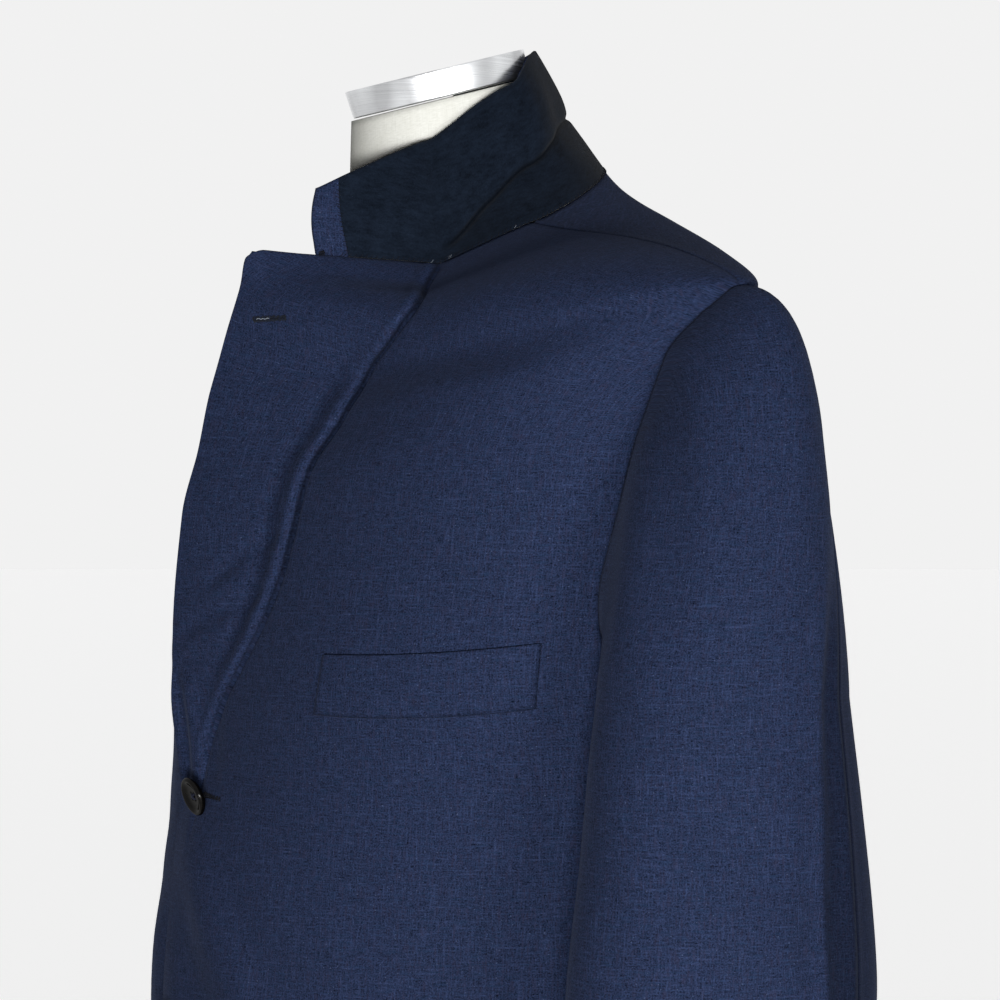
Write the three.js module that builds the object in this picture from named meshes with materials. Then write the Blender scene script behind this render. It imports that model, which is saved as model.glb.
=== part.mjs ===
// A single-breasted, three-button blazer with its collar and lapels turned up, buttoned on a limbless
// dress form on a pole stand. Millimetres, +Z up. The coat faces -Y and its left side is +X. The origin is
// the middle of the underside of the stand's base.
import * as THREE from "three";

// Driving dimensions of the coat. Heights above the floor are called levels.
const CLOTH = 2.2; // a coat panel: cloth and canvas as one wall
const FELT = 1.5;
const TOP_COLLAR = 1.2;
const SEAM = 0.2; // how far each panel's sewn edge stands back from the seam line
const CLEARANCE = 0.35; // between pieces that lie on each other
const HEM = 190;
const UNDERARM = 704;
const SHOULDER_POINT = 878;
const NECKLINE = 922;
const FRONT_SEAM = 84; // angles around the body: 0 at the centre front, 90 at the side, 180 at the back
const BACK_SEAM = 118;
const SHOULDER_SEAM = 90;
const CENTRE_BACK = 180;
// The right front lies this deep beneath the left one, fully up to one angle and not at all past another.
const UNDERLAP = { depth: 2.8, full: 8.5, none: 18 };
const STRIP = 15.5; // the cloth turned round each end of the felt
const WELT = { from: 29.5, to: 69.5, thick: 1.8, off: 0.6, columns: 10 }; // from and to are angles
const BUTTON = { back: 7.6, across: 12, levels: [635, 525, 415], tilt: 31, lifts: [0.35, -0.2, 0.1] };
// From the middle of its back round the rim to the middle of its dished face: radius, height.
const BUTTON_PROFILE = [
  [0, 0],
  [BUTTON.back, 0],
  [10, 2.3],
  [9.5, 3.6],
  [8.5, 4.2],
  [7.4, 3.9],
  [6.2, 2.9],
  [0, 2.5],
];

// Driving dimensions of the form and its stand.
const BASE = { radius: 165, height: 18, edge: 4 };
const FLANGE = { radius: 45, height: 10 };
const POLE_RADIUS = 16;
const FORM_BOTTOM = 235;
const NECK = { middle: 0.5, level: 983, tilt: 15 };
const BAND = { inner: 42.5, lower: 45.3, upper: 46.5, height: 14 };
// The block that closes the neck: radius, and height above the band's top edge.
const NECK_BLOCK = [
  [42.15, -1.6],
  [41.2, -0.8],
  [0, -0.8],
];

// Rows of vertices up the coat.
const BODY_LEVELS = [190, 240, 300, 365, 435, 500, 560, 605, 645, 676, UNDERARM];
const ARMHOLE_LEVELS = [712, 724, 738, 755, 772, 790, 808, 826, 842, 855, 866, SHOULDER_POINT];
const SHOULDER_LEVELS = [885, 892, 900, 907, 915, NECKLINE];
const ALL_LEVELS = [...BODY_LEVELS, ...ARMHOLE_LEVELS, ...SHOULDER_LEVELS];
const LAPEL_SHARES = [0, 0.2, 0.355, 0.62, 0.84]; // from the edge to the crease; the third is the notch
const NOTCH = 2;
const FRONT_COLUMNS = 8;
const FRONT_CROWD = 1.3; // the columns of the fronts lie closer together towards the crease
const SIDE_COLUMNS = 4;
const BACK_COLUMNS = 6;

// One row per level of the coat: its height at the side, front and back, half its width, where its widest
// line lies, its reach ahead of and behind that line, how square its outline is, and how its height runs
// from the side to the front and back: with the cosine of the angle raised to the last column.
const readCoat = tableReader(
  ["level", "side", "front", "back", "half", "middle", "ahead", "behind", "square", "bend"],
  [
    [190, 190, 190, 190, 192, 16, 162, 113, 2.05, 2],
    [300, 300, 300, 300, 193, 16, 162, 111, 1.95, 2],
    [430, 430, 430, 430, 182, 15, 159, 96, 1.85, 2],
    [520, 520, 520, 520, 176, 15, 157, 87, 1.8, 2],
    [600, 600, 600, 600, 181, 15, 151.4, 90, 1.8, 2],
    [650, 650, 650, 650, 189, 16, 143, 96, 1.9, 2],
    [700, 700, 700, 700, 197, 19, 140, 98, 2.05, 2],
    [750, 750, 750, 750, 200, 23, 134.5, 95, 2.1, 2],
    [800, 800, 792, 800, 204, 27, 129, 84, 2.15, 2],
    [845, 845, 817, 845, 214, 36, 122, 70, 2.2, 2],
    [878, 878, 841, 886, 225, 52, 127, 52, 1.95, 1.8],
    [892, 894, 858, 907, 192, 44, 115, 57, 2.15, 1.8],
    [905, 904.5, 866, 923, 147, 34, 99, 61, 2.2, 1.6],
    [915, 910.5, 868, 938, 105, 25, 87, 62, 2.15, 1.25],
    [922, 916, 876, 950, 75, 18, 80, 66, 2.1, 1.05],
  ],
);

// The front opening: how far across the edge lies where the fronts are flat, and the angle of the column
// of vertices that becomes the lapel's crease above the top button.
const readOpening = tableReader(
  ["level", "edge", "crease"],
  [
    [190, 58, 22],
    [215, 38, 16],
    [250, 19, 10.5],
    [300, 2, 6.2],
    [370, -12, 3],
    [430, -18, 2],
    [640, -18, 2],
    [660, -18, 2.8],
    [680, -18, 5.6],
    [695, -18, 8.8],
    [722, -18, 14],
    [748, -18, 16.5],
    [788, -18, 17.3],
    [845, -18, 17.6],
    [866, -18, 18.6],
    [878, -18, 20.6],
    [885, -18, 24],
    [892, -18, 28],
    [905, -18, 35.8],
    [915, -18, 44],
    [922, -18, 57],
  ],
);
const LAPEL_SHUT = 600; // below this level the front is flat to its edge
const LAPEL_OPEN = 690; // above this one the lapel stands free

// The free edge of each lapel, standing forward, and how far its middle swells outwards.
// The right one is given as its mirror image.
const readLapel = {
  left: tableReader(
    ["level", "x", "y", "z", "swell"],
    [
      [600, -18, -139, 600, 0],
      [640, -18, -135.5, 640, 0],
      [665, -16.5, -136.5, 665, 1],
      [690, -12, -138, 690, 2],
      [732, -5, -139, 732, 3],
      [772, 3, -138, 772, 3],
      [808, 7.5, -131.5, 804, 3],
      [842, 10, -127.5, 828, 3],
      [866, 11, -121.5, 850, 3],
      [878, 11.5, -117, 866, 3],
      [892, 11.8, -113.2, 878, 2],
      [905, 12, -110.8, 886, 2],
      [915, 12.4, -108.8, 896, 1],
      [922, 13.8, -106.6, 902.5, 0],
    ],
  ),
  right: tableReader(
    ["level", "x", "y", "z", "swell"],
    [
      [600, -18, -132, 600, 0],
      [640, -18, -121, 640, 0],
      [665, -15, -118.5, 665, 0],
      [690, -9, -118, 690, 0],
      [732, -6, -124, 732, -1],
      [772, 2, -125, 771, -2],
      [808, 5, -120, 802, -2],
      [842, 6, -112, 824, -3],
      [866, 3, -103, 846, -4],
      [878, 0, -98, 862, -5],
      [892, -2, -95, 874, -5],
      [905, -3, -92, 883, -5],
      [915, -4, -89.5, 890, -5],
      [922, -5, -84, 896, -5],
    ],
  ),
};
const ROLL = { rise: 2.5, reach: 9 }; // the soft ridge beside the crease

// The levels of the breast welt's lower and upper edges along its length, cut in a shallow boat shape.
const readWelt = tableReader(
  ["share", "low", "high"],
  [
    [0, 678, 706],
    [0.22, 677.5, 706.3],
    [0.5, 678.2, 707.8],
    [0.78, 680.4, 710.3],
    [1, 683, 713],
  ],
);

// The armhole: the angles of its front and back edges.
const readArmhole = tableReader(
  ["level", "front", "back"],
  [
    [704, 84, 118],
    [712, 81.2, 120],
    [724, 79.5, 121],
    [738, 79, 121],
    [755, 79.8, 120.5],
    [772, 81, 119.5],
    [790, 82, 118],
    [808, 82.8, 116],
    [826, 83.5, 113],
    [842, 83.6, 110],
    [855, 83.6, 107],
    [866, 84, 104],
    [878, 90, 90],
  ],
);

// The sleeve below the underarm: ellipses around its middle line.
const readSleeve = tableReader(
  ["level", "x", "y", "across", "along"],
  [
    [250, 253, 1, 37, 54],
    [350, 256, 10, 42, 62],
    [450, 258, 20, 48, 71],
    [553, 256, 27, 52, 75],
    [620, 253, 30, 52, 68.5],
    [690, 250, 31, 50, 60],
  ],
);
const SLEEVE_LEVELS = [690, 635, 580, 520, 440, 345, 250];
const CAP_STEPS = 6;
// How the sleeve's cap swells: which way it leaves each side of the armhole, and how far it keeps that way.
const CAP = { back: 1.94, front: 0.45, crown: 0, under: 0.91, out: 0.325, above: 0.145, crowd: 0.9 };
const HINDARM = 3; // the column, counted back from the crown, on which the hind seam runs
const FOREARM = 11; // the column, counted forward from the crown, on which the front seam runs

// The collar: how far its fold and its top edge lie from the seam beneath them, from the centre back (0) to
// the collar's end (1). The right one is given as its mirror image.
const COLLAR_COLUMNS = ["share", "foldX", "foldY", "foldZ", "topX", "topY", "topZ"];
const COLLAR_BACK = [
  [0, 0, -16.5, 24, 0, -35.5, 55],
  [0.25, -13.5, -15.5, 27, -23, -27.5, 63],
];
const readCollar = {
  left: tableReader(COLLAR_COLUMNS, [
    ...COLLAR_BACK,
    [0.37, -14.2, -7.5, 27, -26, -17.5, 65.5],
    [0.49, -14.4, 1, 27, -25.5, -5, 67],
    [0.6, -12.6, 1.7, 17, -22.5, -2, 65],
    [0.72, -3, 1.4, 6, -18, 3, 62],
    [0.87, -0.8, -1, 6, -5, -6, 44],
    [1, 0, -0.8, 5, 1.5, -0.6, 31.5],
  ]),
  right: tableReader(COLLAR_COLUMNS, [
    ...COLLAR_BACK,
    [0.37, -13.8, -7.5, 26.5, -26, -17, 61],
    [0.49, -13.5, 0, 25, -25.5, -5, 59],
    [0.6, -12, 1.2, 15, -22.5, -2, 53],
    [0.72, -3.5, 1.4, 7, -18, 5, 46],
    [0.87, -1.3, 1.6, 6, -8, 5.5, 36],
    [1, -0.5, 3.5, 5.5, -3.5, 7, 33],
  ]),
};
const COLLAR_STEPS = [0, 0.5, 1, 1.5, 2]; // 0 at the seam, 1 at the fold, 2 at the top edge
const COLLAR_BOW = 2; // how far the fall swells outwards
const COLLAR_LAYERS = 0.5; // between the felt and the top collar

// The form: the same kind of outline as the coat's, inside it. Its height runs from side to front or back
// with the cosine of the angle raised to the last column.
const readForm = tableReader(
  ["row", "side", "front", "back", "half", "middle", "ahead", "behind", "square", "bend"],
  [
    [0, 235, 235, 235, 168, 15, 144, 96, 2, 2],
    [1, 300, 300, 300, 178, 16, 146, 96, 1.95, 2],
    [2, 430, 430, 430, 168, 15, 146, 82, 1.85, 2],
    [3, 520, 520, 520, 162, 15, 145, 73, 1.8, 2],
    [4, 600, 600, 600, 167, 15, 138, 76, 1.8, 2],
    [5, 650, 650, 650, 175, 16, 128, 82, 1.9, 2],
    [6, 700, 700, 700, 184, 19, 125, 85, 2.05, 2],
    [7, 750, 750, 750, 188, 23, 120, 82, 2.1, 2],
    [8, 800, 790, 800, 190, 27, 114, 71, 2.15, 2],
    [9, 840, 812, 840, 190, 35, 107, 58, 2.2, 2],
    [10, 868, 832, 870, 189, 44, 106, 46, 2.15, 2],
    [11, 888.2, 848, 898, 184, 44, 103, 45, 2.2, 1.9],
    [12, 899.6, 856, 915, 145, 34, 87, 49, 2.2, 1.6],
    [13, 906.5, 860, 930, 102, 24, 72, 51, 2.15, 1.25],
    [14, 912, 870, 938, 64, 11, 55, 48, 2.05, 1.1],
    [15, 932, 906, 948, 48.2, 2, 46.6, 46, 2, 1],
    [16, 981.9, 970.2, 993.6, 43.5, 0.5, 43.5, 43.5, 2, 1],
  ],
);
const FORM_LAST_ROW = 16;
const FORM_COLUMNS = 40;
const FORM_STEP = 0.5;

const FINISH = {
  cloth: { color: 0x2a3350, roughness: 0.92, metalness: 0 },
  felt: { color: 0x1c242e, roughness: 1, metalness: 0 },
  horn: { color: 0x17130f, roughness: 0.25, metalness: 0 },
  linen: { color: 0xe3e4dc, roughness: 0.85, metalness: 0 },
  steel: { color: 0xb9bdc0, roughness: 0.35, metalness: 1 },
};

// ---------------------------------------------------------------- helpers

// Reads a table whose first column is its key, with a smooth curve through each other column that never
// runs past its rows.
function tableReader(names, rows) {
  const keys = rows.map((row) => row[0]);
  const rate = (k, column) => (rows[k + 1][column] - rows[k][column]) / (keys[k + 1] - keys[k]);
  function slope(k, column) {
    if (k === 0) return rate(0, column);
    if (k === keys.length - 1) return rate(k - 1, column);
    const before = rate(k - 1, column);
    const after = rate(k, column);
    return before * after > 0 ? (2 * before * after) / (before + after) : 0;
  }
  return function read(key) {
    const at = THREE.MathUtils.clamp(key, keys[0], keys.at(-1));
    let k = 0;
    while (k < keys.length - 2 && at > keys[k + 1]) k += 1;
    const span = keys[k + 1] - keys[k];
    const s = (at - keys[k]) / span;
    const start = (1 + 2 * s) * (1 - s) ** 2;
    const end = s * s * (3 - 2 * s);
    const leave = s * (1 - s) ** 2 * span;
    const arrive = s * s * (s - 1) * span;
    const values = names.map((name, c) => [
      name,
      start * rows[k][c] + end * rows[k + 1][c] + leave * slope(k, c) + arrive * slope(k + 1, c),
    ]);
    return Object.fromEntries(values);
  };
}

// A point of a superellipse section that is higher or lower at its front and back than at its sides.
function sectionPoint(at, angle) {
  const turn = THREE.MathUtils.degToRad(angle);
  const power = 2 / at.square;
  const sine = Math.sin(turn);
  const cosine = Math.cos(turn);
  const reach = cosine > 0 ? at.ahead : at.behind;
  const end = cosine > 0 ? at.front : at.back;
  return new THREE.Vector3(
    at.half * Math.sign(sine) * Math.abs(sine) ** power,
    at.middle - reach * Math.sign(cosine) * Math.abs(cosine) ** power,
    at.side + (end - at.side) * Math.abs(cosine) ** at.bend,
  );
}

function coatPoint(angle, level) {
  return sectionPoint(readCoat(level), angle);
}

// The outward normal of the coat.
function coatNormal(angle, level) {
  const low = Math.max(level - 1, HEM);
  const high = Math.min(level + 1, NECKLINE);
  const up = coatPoint(angle, high).sub(coatPoint(angle, low));
  const round = coatPoint(angle + 1, level).sub(coatPoint(angle - 1, level));
  return round.cross(up).normalize();
}

// The angle at which a level of the coat lies so far across.
function angleAcross(across, level) {
  const at = readCoat(level);
  const share = Math.min(Math.abs(across) / at.half, 1);
  return Math.sign(across) * THREE.MathUtils.radToDeg(Math.asin(share ** (at.square / 2)));
}

const mix = THREE.MathUtils.lerp;
const ease = (value, from, to) => THREE.MathUtils.smoothstep(value, from, to);
const spread = (count) => Array.from({ length: count + 1 }, (_, i) => i / count);
const frontShares = spread(FRONT_COLUMNS).map((s) => s ** FRONT_CROWD);

// The normals of a grid of points, outward where its columns run anticlockwise seen from above.
function gridNormals(grid) {
  return grid.map((row, j) =>
    row.map((_, i) => {
      const round = row[Math.min(i + 1, row.length - 1)].clone().sub(row[Math.max(i - 1, 0)]);
      const up = grid[Math.min(j + 1, grid.length - 1)][i].clone().sub(grid[Math.max(j - 1, 0)][i]);
      return round.cross(up).normalize();
    }),
  );
}

const moved = (grid, normals, by) =>
  grid.map((row, j) => row.map((point, i) => point.clone().addScaledVector(normals[j][i], by)));

// A closed wall between two grids of the same size.
function wallGeometry(outer, inner, mirrored) {
  const rows = outer.length;
  const columns = outer[0].length;
  const positions = [...outer.flat(), ...inner.flat()].flatMap((point) => [
    mirrored ? -point.x : point.x,
    point.y,
    point.z,
  ]);
  const index = [];
  const at = (j, i, layer) => layer * rows * columns + j * columns + i;
  function quad(a, b, c, d) {
    if (mirrored) index.push(a, c, b, a, d, c);
    else index.push(a, b, c, a, c, d);
  }
  for (let j = 0; j < rows - 1; j += 1) {
    for (let i = 0; i < columns - 1; i += 1) {
      quad(at(j, i, 0), at(j, i + 1, 0), at(j + 1, i + 1, 0), at(j + 1, i, 0));
      quad(at(j, i, 1), at(j + 1, i, 1), at(j + 1, i + 1, 1), at(j, i + 1, 1));
    }
    quad(at(j, 0, 0), at(j + 1, 0, 0), at(j + 1, 0, 1), at(j, 0, 1));
    const last = columns - 1;
    quad(at(j, last, 1), at(j + 1, last, 1), at(j + 1, last, 0), at(j, last, 0));
  }
  for (let i = 0; i < columns - 1; i += 1) {
    quad(at(0, i, 1), at(0, i + 1, 1), at(0, i + 1, 0), at(0, i, 0));
    quad(at(rows - 1, i, 0), at(rows - 1, i + 1, 0), at(rows - 1, i + 1, 1), at(rows - 1, i, 1));
  }
  const geometry = new THREE.BufferGeometry();
  geometry.setAttribute("position", new THREE.Float32BufferAttribute(positions, 3));
  geometry.setIndex(index);
  geometry.computeVertexNormals();
  return geometry;
}

// A solid skin closed at its first and last ring by flat or domed fans.
function ringsGeometry(rings) {
  const columns = rings[0].length;
  const middle = (ring) => ring.reduce((sum, p) => sum.add(p), new THREE.Vector3()).divideScalar(columns);
  const points = [...rings.flat(), middle(rings[0]), middle(rings.at(-1))];
  const positions = points.flatMap((point) => [point.x, point.y, point.z]);
  const index = [];
  const foot = rings.length * columns;
  for (let i = 0; i < columns; i += 1) {
    const next = (i + 1) % columns;
    for (let j = 0; j < rings.length - 1; j += 1) {
      const low = j * columns;
      const high = low + columns;
      index.push(low + i, low + next, high + next, low + i, high + next, high + i);
    }
    const top = (rings.length - 1) * columns;
    index.push(foot, next, i, foot + 1, top + i, top + next);
  }
  const geometry = new THREE.BufferGeometry();
  geometry.setAttribute("position", new THREE.Float32BufferAttribute(positions, 3));
  geometry.setIndex(index);
  geometry.computeVertexNormals();
  return geometry;
}

// Moves the first and last columns of a panel back from their seam lines, square to the seam.
function standBack(grid, seams) {
  const rows = grid.length;
  const columns = grid[0].length;
  const result = grid.map((row) => row.map((point) => point.clone()));
  const pull = (j, edge, inside) => {
    const above = grid[Math.min(j + 1, rows - 1)][edge];
    const along = above.clone().sub(grid[Math.max(j - 1, 0)][edge]).normalize();
    const inward = grid[j][inside].clone().sub(grid[j][edge]);
    inward.addScaledVector(along, -inward.dot(along)).normalize();
    result[j][edge].addScaledVector(inward, SEAM);
  };
  for (let j = 0; j < rows; j += 1) {
    if (seams.first) pull(j, 0, 1);
    if (seams.last) pull(j, columns - 1, columns - 2);
  }
  return result;
}

function named(name, geometry, finish) {
  const mesh = new THREE.Mesh(geometry, new THREE.MeshStandardMaterial(FINISH[finish]));
  mesh.name = name;
  return mesh;
}

// ---------------------------------------------------------------- coat body

const frontEdgeAngle = (level) => {
  if (level <= UNDERARM) return FRONT_SEAM;
  return level < SHOULDER_POINT ? readArmhole(level).front : SHOULDER_SEAM;
};

const backEdgeAngle = (level) => {
  if (level <= UNDERARM) return BACK_SEAM;
  return level < SHOULDER_POINT ? readArmhole(level).back : SHOULDER_SEAM;
};

// How far the right front lies inside the left one at an angle near the centre front.
const underlap = (angle, side) =>
  side === "right" ? UNDERLAP.depth * (1 - ease(angle, UNDERLAP.full, UNDERLAP.none)) : 0;

function flatFrontPoint(angle, level, side) {
  return coatPoint(angle, level).addScaledVector(coatNormal(angle, level), -underlap(angle, side));
}

// A point of the lapel at a share of the way from its edge to its crease.
function lapelPoint(level, share, side) {
  const opening = readOpening(level);
  const edge = readLapel[side](level);
  const crease = flatFrontPoint(opening.crease, level, side);
  const tip = new THREE.Vector3(edge.x, edge.y, edge.z);
  const breadth = tip.clone().sub(crease);
  const width = breadth.length();
  const outward = new THREE.Vector3(-breadth.y, breadth.x, 0).normalize();
  const away = (1 - share) * width;
  const ridge = ROLL.rise * (away / ROLL.reach) * Math.exp(1 - away / ROLL.reach);
  const swell = 4 * edge.swell * share * (1 - share);
  return crease.lerp(tip, 1 - share).addScaledVector(outward, ridge * share + swell);
}

// The outer face of a front: lapel columns from the edge to the crease, then body columns to the side.
function frontSheet(side) {
  return ALL_LEVELS.map((level) => {
    const opening = readOpening(level);
    const open = ease(level, LAPEL_SHUT, LAPEL_OPEN);
    const edgeAngle = angleAcross(opening.edge, level);
    const lapel = LAPEL_SHARES.map((share) => {
      const flat = flatFrontPoint(mix(edgeAngle, opening.crease, share), level, side);
      return open > 0 ? flat.lerp(lapelPoint(level, share, side), open) : flat;
    });
    const body = frontShares.map((share) =>
      flatFrontPoint(mix(opening.crease, frontEdgeAngle(level), share), level, side),
    );
    return [...lapel, ...body];
  });
}

function patch(levels, firstAngle, lastAngle, columns) {
  return levels.map((level) =>
    spread(columns).map((share) => coatPoint(mix(firstAngle(level), lastAngle(level), share), level)),
  );
}

const sheets = {
  front: { left: frontSheet("left"), right: frontSheet("right") },
  side: patch(BODY_LEVELS, () => FRONT_SEAM, () => BACK_SEAM, SIDE_COLUMNS),
  back: patch(ALL_LEVELS, backEdgeAngle, () => CENTRE_BACK, BACK_COLUMNS),
};

// Panels share the coat's own normals along their seams, so that their walls meet square.
function sharedNormals(sheet, angles) {
  const normals = gridNormals(sheet);
  return normals.map((row, j) => row.map((normal, i) => angles(ALL_LEVELS[j], i) ?? normal));
}

function frontPanel(side) {
  const sheet = sheets.front[side];
  const normals = sharedNormals(sheet, (level, i) => {
    const column = i - LAPEL_SHARES.length;
    if (column <= 0) return undefined;
    return coatNormal(mix(readOpening(level).crease, frontEdgeAngle(level), frontShares[column]), level);
  });
  const outer = standBack(sheet, { last: true });
  return wallGeometry(outer, moved(outer, normals, -CLOTH), side === "right");
}

function sidePanel(side) {
  const normals = sharedNormals(sheets.side, (level, i) =>
    coatNormal(mix(FRONT_SEAM, BACK_SEAM, i / SIDE_COLUMNS), level),
  );
  const outer = standBack(sheets.side, { first: true, last: true });
  return wallGeometry(outer, moved(outer, normals, -CLOTH), side === "right");
}

function backPanel(side) {
  const normals = sharedNormals(sheets.back, (level, i) =>
    coatNormal(mix(backEdgeAngle(level), CENTRE_BACK, i / BACK_COLUMNS), level),
  );
  const outer = standBack(sheets.back, { first: true, last: true });
  return wallGeometry(outer, moved(outer, normals, -CLOTH), side === "right");
}

// ---------------------------------------------------------------- sleeves

// The armhole's edge, from the crown down its back, under the arm and up its front to the crown again, with
// the outward normal of the coat at each point.
function armholeLoop() {
  const rising = [UNDERARM, ...ARMHOLE_LEVELS];
  const falling = rising.toReversed();
  const seat = (angle, level) => ({ point: coatPoint(angle, level), normal: coatNormal(angle, level) });
  const back = falling.map((level) => seat(backEdgeAngle(level), level));
  const under = spread(SIDE_COLUMNS).slice(1, -1);
  const bottom = under.map((share) => seat(mix(BACK_SEAM, FRONT_SEAM, share), UNDERARM));
  const front = rising.map((level) => seat(frontEdgeAngle(level), level));
  return [...back, ...bottom, ...front];
}

// The share of the way round from the crown to the underarm, 1 there, and past it back up to 0.
function roundShares(loop) {
  const lengths = [0];
  for (let k = 1; k < loop.length; k += 1) {
    lengths.push(lengths[k - 1] + loop[k].point.distanceTo(loop[k - 1].point));
  }
  const lowest = (loop.length - 1) / 2;
  const total = lengths.at(-1);
  return lengths.map((length, k) =>
    k <= lowest ? length / lengths[lowest] : 2 - (total - length) / (total - lengths[lowest]),
  );
}

function sleeveRing(level, share) {
  const at = readSleeve(level);
  const turn = Math.PI * share;
  return new THREE.Vector3(at.x + at.across * Math.cos(turn), at.y + at.along * Math.sin(turn), level);
}

// The sleeve's outer face, one column for each point of the armhole: a cap that leaves the armhole and turns
// down, then the rings to the cuff.
function sleeveSheet() {
  const loop = armholeLoop();
  const shares = roundShares(loop);
  const middle = loop.reduce((sum, seat) => sum.add(seat.point), new THREE.Vector3());
  middle.divideScalar(loop.length);
  const columns = loop.map((seat, k) => {
    const before = loop[Math.max(k - 1, 0)].point;
    const after = loop[Math.min(k + 1, loop.length - 1)].point;
    const intoHole = after.clone().sub(before).cross(seat.normal).normalize();
    const base = seat.point.clone().addScaledVector(seat.normal, CLEARANCE);
    base.addScaledVector(intoHole, CLEARANCE);
    const away = seat.point.clone().sub(middle).setX(0).normalize();
    const sideways = away.y > 0 ? CAP.back * away.y : CAP.front * away.y;
    const upwards = away.z > 0 ? CAP.crown * away.z : CAP.under * away.z;
    const leave = new THREE.Vector3(1, sideways, upwards).normalize();
    const ring = sleeveRing(SLEEVE_LEVELS[0], shares[k]);
    const drop = base.distanceTo(ring);
    const out = base.clone().addScaledVector(leave, CAP.out * drop);
    const above = ring.clone().add(new THREE.Vector3(0, 0, CAP.above * drop));
    const curve = new THREE.CubicBezierCurve3(base, out, above, ring);
    const cap = spread(CAP_STEPS).map((s) => curve.getPoint(s ** CAP.crowd));
    return [...cap, ...SLEEVE_LEVELS.slice(1).map((level) => sleeveRing(level, shares[k]))];
  });
  return columns[0].map((_, j) => columns.map((column) => column[j])).toReversed();
}

// One piece of the sleeve between two columns, counted back from the crown. The sheet's first and last
// columns are the same line, so it is read as a closed ring.
function sleevePanel(sheet, from, to, side) {
  const around = sheet[0].length - 1;
  const ring = sheet.map((row) => row.slice(0, around));
  const wrap = (i) => ((i % around) + around) % around;
  const normals = ring.map((row, j) =>
    row.map((_, i) => {
      const round = row[wrap(i + 1)].clone().sub(row[wrap(i - 1)]);
      const up = ring[Math.min(j + 1, ring.length - 1)][i].clone().sub(ring[Math.max(j - 1, 0)][i]);
      return round.cross(up).normalize();
    }),
  );
  const picked = Array.from({ length: to - from + 1 }, (_, k) => wrap(from + k));
  const outer = standBack(ring.map((row) => picked.map((i) => row[i])), { first: true, last: true });
  const facing = normals.map((row) => picked.map((i) => row[i]));
  return wallGeometry(outer, moved(outer, facing, -CLOTH), side === "right");
}

// ---------------------------------------------------------------- collar

// The line that the collar is sewn to, from its left end round the back to its right end, and each point's
// share of the way from the centre back.
function necklineRail() {
  const halves = ["left", "right"].map((side) => {
    const mirror = side === "right" ? -1 : 1;
    const top = sheets.front[side].length - 1;
    const angles = frontShares.map((share) => mix(readOpening(NECKLINE).crease, SHOULDER_SEAM, share));
    const gorge = sheets.front[side][top].slice(NOTCH, LAPEL_SHARES.length);
    const gorgeNormals = gridNormals(sheets.front[side])[top].slice(NOTCH, LAPEL_SHARES.length);
    const front = sheets.front[side][top].slice(LAPEL_SHARES.length);
    const back = sheets.back[top].slice(1);
    const points = [...gorge, ...front, ...back];
    const normals = [
      ...gorgeNormals,
      ...angles.map((angle) => coatNormal(angle, NECKLINE)),
      ...spread(BACK_COLUMNS).slice(1).map((s) => coatNormal(mix(SHOULDER_SEAM, CENTRE_BACK, s), NECKLINE)),
    ];
    const lengths = [0];
    for (let k = 1; k < points.length; k += 1) {
      lengths.push(lengths[k - 1] + points[k].distanceTo(points[k - 1]));
    }
    return points.map((point, k) => {
      const lifted = point.clone().addScaledVector(normals[k], CLEARANCE);
      lifted.z += CLEARANCE;
      lifted.x *= mirror;
      return { point: lifted, share: 1 - lengths[k] / lengths.at(-1), side, fromEnd: lengths[k] };
    });
  });
  return [...halves[0], ...halves[1].toReversed().slice(1)];
}

// Adds a rail point at a distance from the collar's end, on the stretch that holds it.
function pointFromEnd(rail, side, distance) {
  const half = rail.filter((seat) => seat.side === side);
  const ordered = side === "left" ? half : half.toReversed();
  const next = ordered.findIndex((seat) => seat.fromEnd > distance);
  const [a, b] = [ordered[next - 1], ordered[next]];
  const s = (distance - a.fromEnd) / (b.fromEnd - a.fromEnd);
  return { point: a.point.clone().lerp(b.point, s), share: mix(a.share, b.share, s), side, fromEnd: distance };
}

// The collar's outer face above one point of its seam.
function collarColumn(seat) {
  const at = readCollar[seat.side](seat.share);
  const mirror = seat.side === "right" ? -1 : 1;
  const fold = new THREE.Vector3(mirror * at.foldX, at.foldY, at.foldZ);
  const top = new THREE.Vector3(mirror * at.topX, at.topY, at.topZ);
  const fall = top.clone().sub(fold);
  const outward = new THREE.Vector3(seat.point.x, seat.point.y, 0).normalize();
  return COLLAR_STEPS.map((step) => {
    if (step <= 1) return seat.point.clone().addScaledVector(fold, step);
    const s = step - 1;
    const bow = COLLAR_BOW * 4 * s * (1 - s);
    return seat.point.clone().add(fold).addScaledVector(fall, s).addScaledVector(outward, bow);
  });
}

function collarSheet(seats) {
  const columns = seats.map(collarColumn);
  return COLLAR_STEPS.map((_, j) => columns.map((column) => column[j]));
}

// The collar's lower edge is cut level, to stand on the coat's.
function collarNormals(sheet) {
  const normals = gridNormals(sheet);
  normals[0].forEach((normal) => normal.setZ(0).normalize());
  return normals;
}

function undercollarGeometry() {
  const rail = necklineRail();
  const inner = rail.filter((seat) => seat.fromEnd > STRIP + 1);
  const start = pointFromEnd(rail, "left", STRIP + 2 * SEAM);
  const end = pointFromEnd(rail, "right", STRIP + 2 * SEAM);
  const sheet = collarSheet([start, ...inner, end]);
  return wallGeometry(sheet, moved(sheet, collarNormals(sheet), -FELT), false);
}

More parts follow.
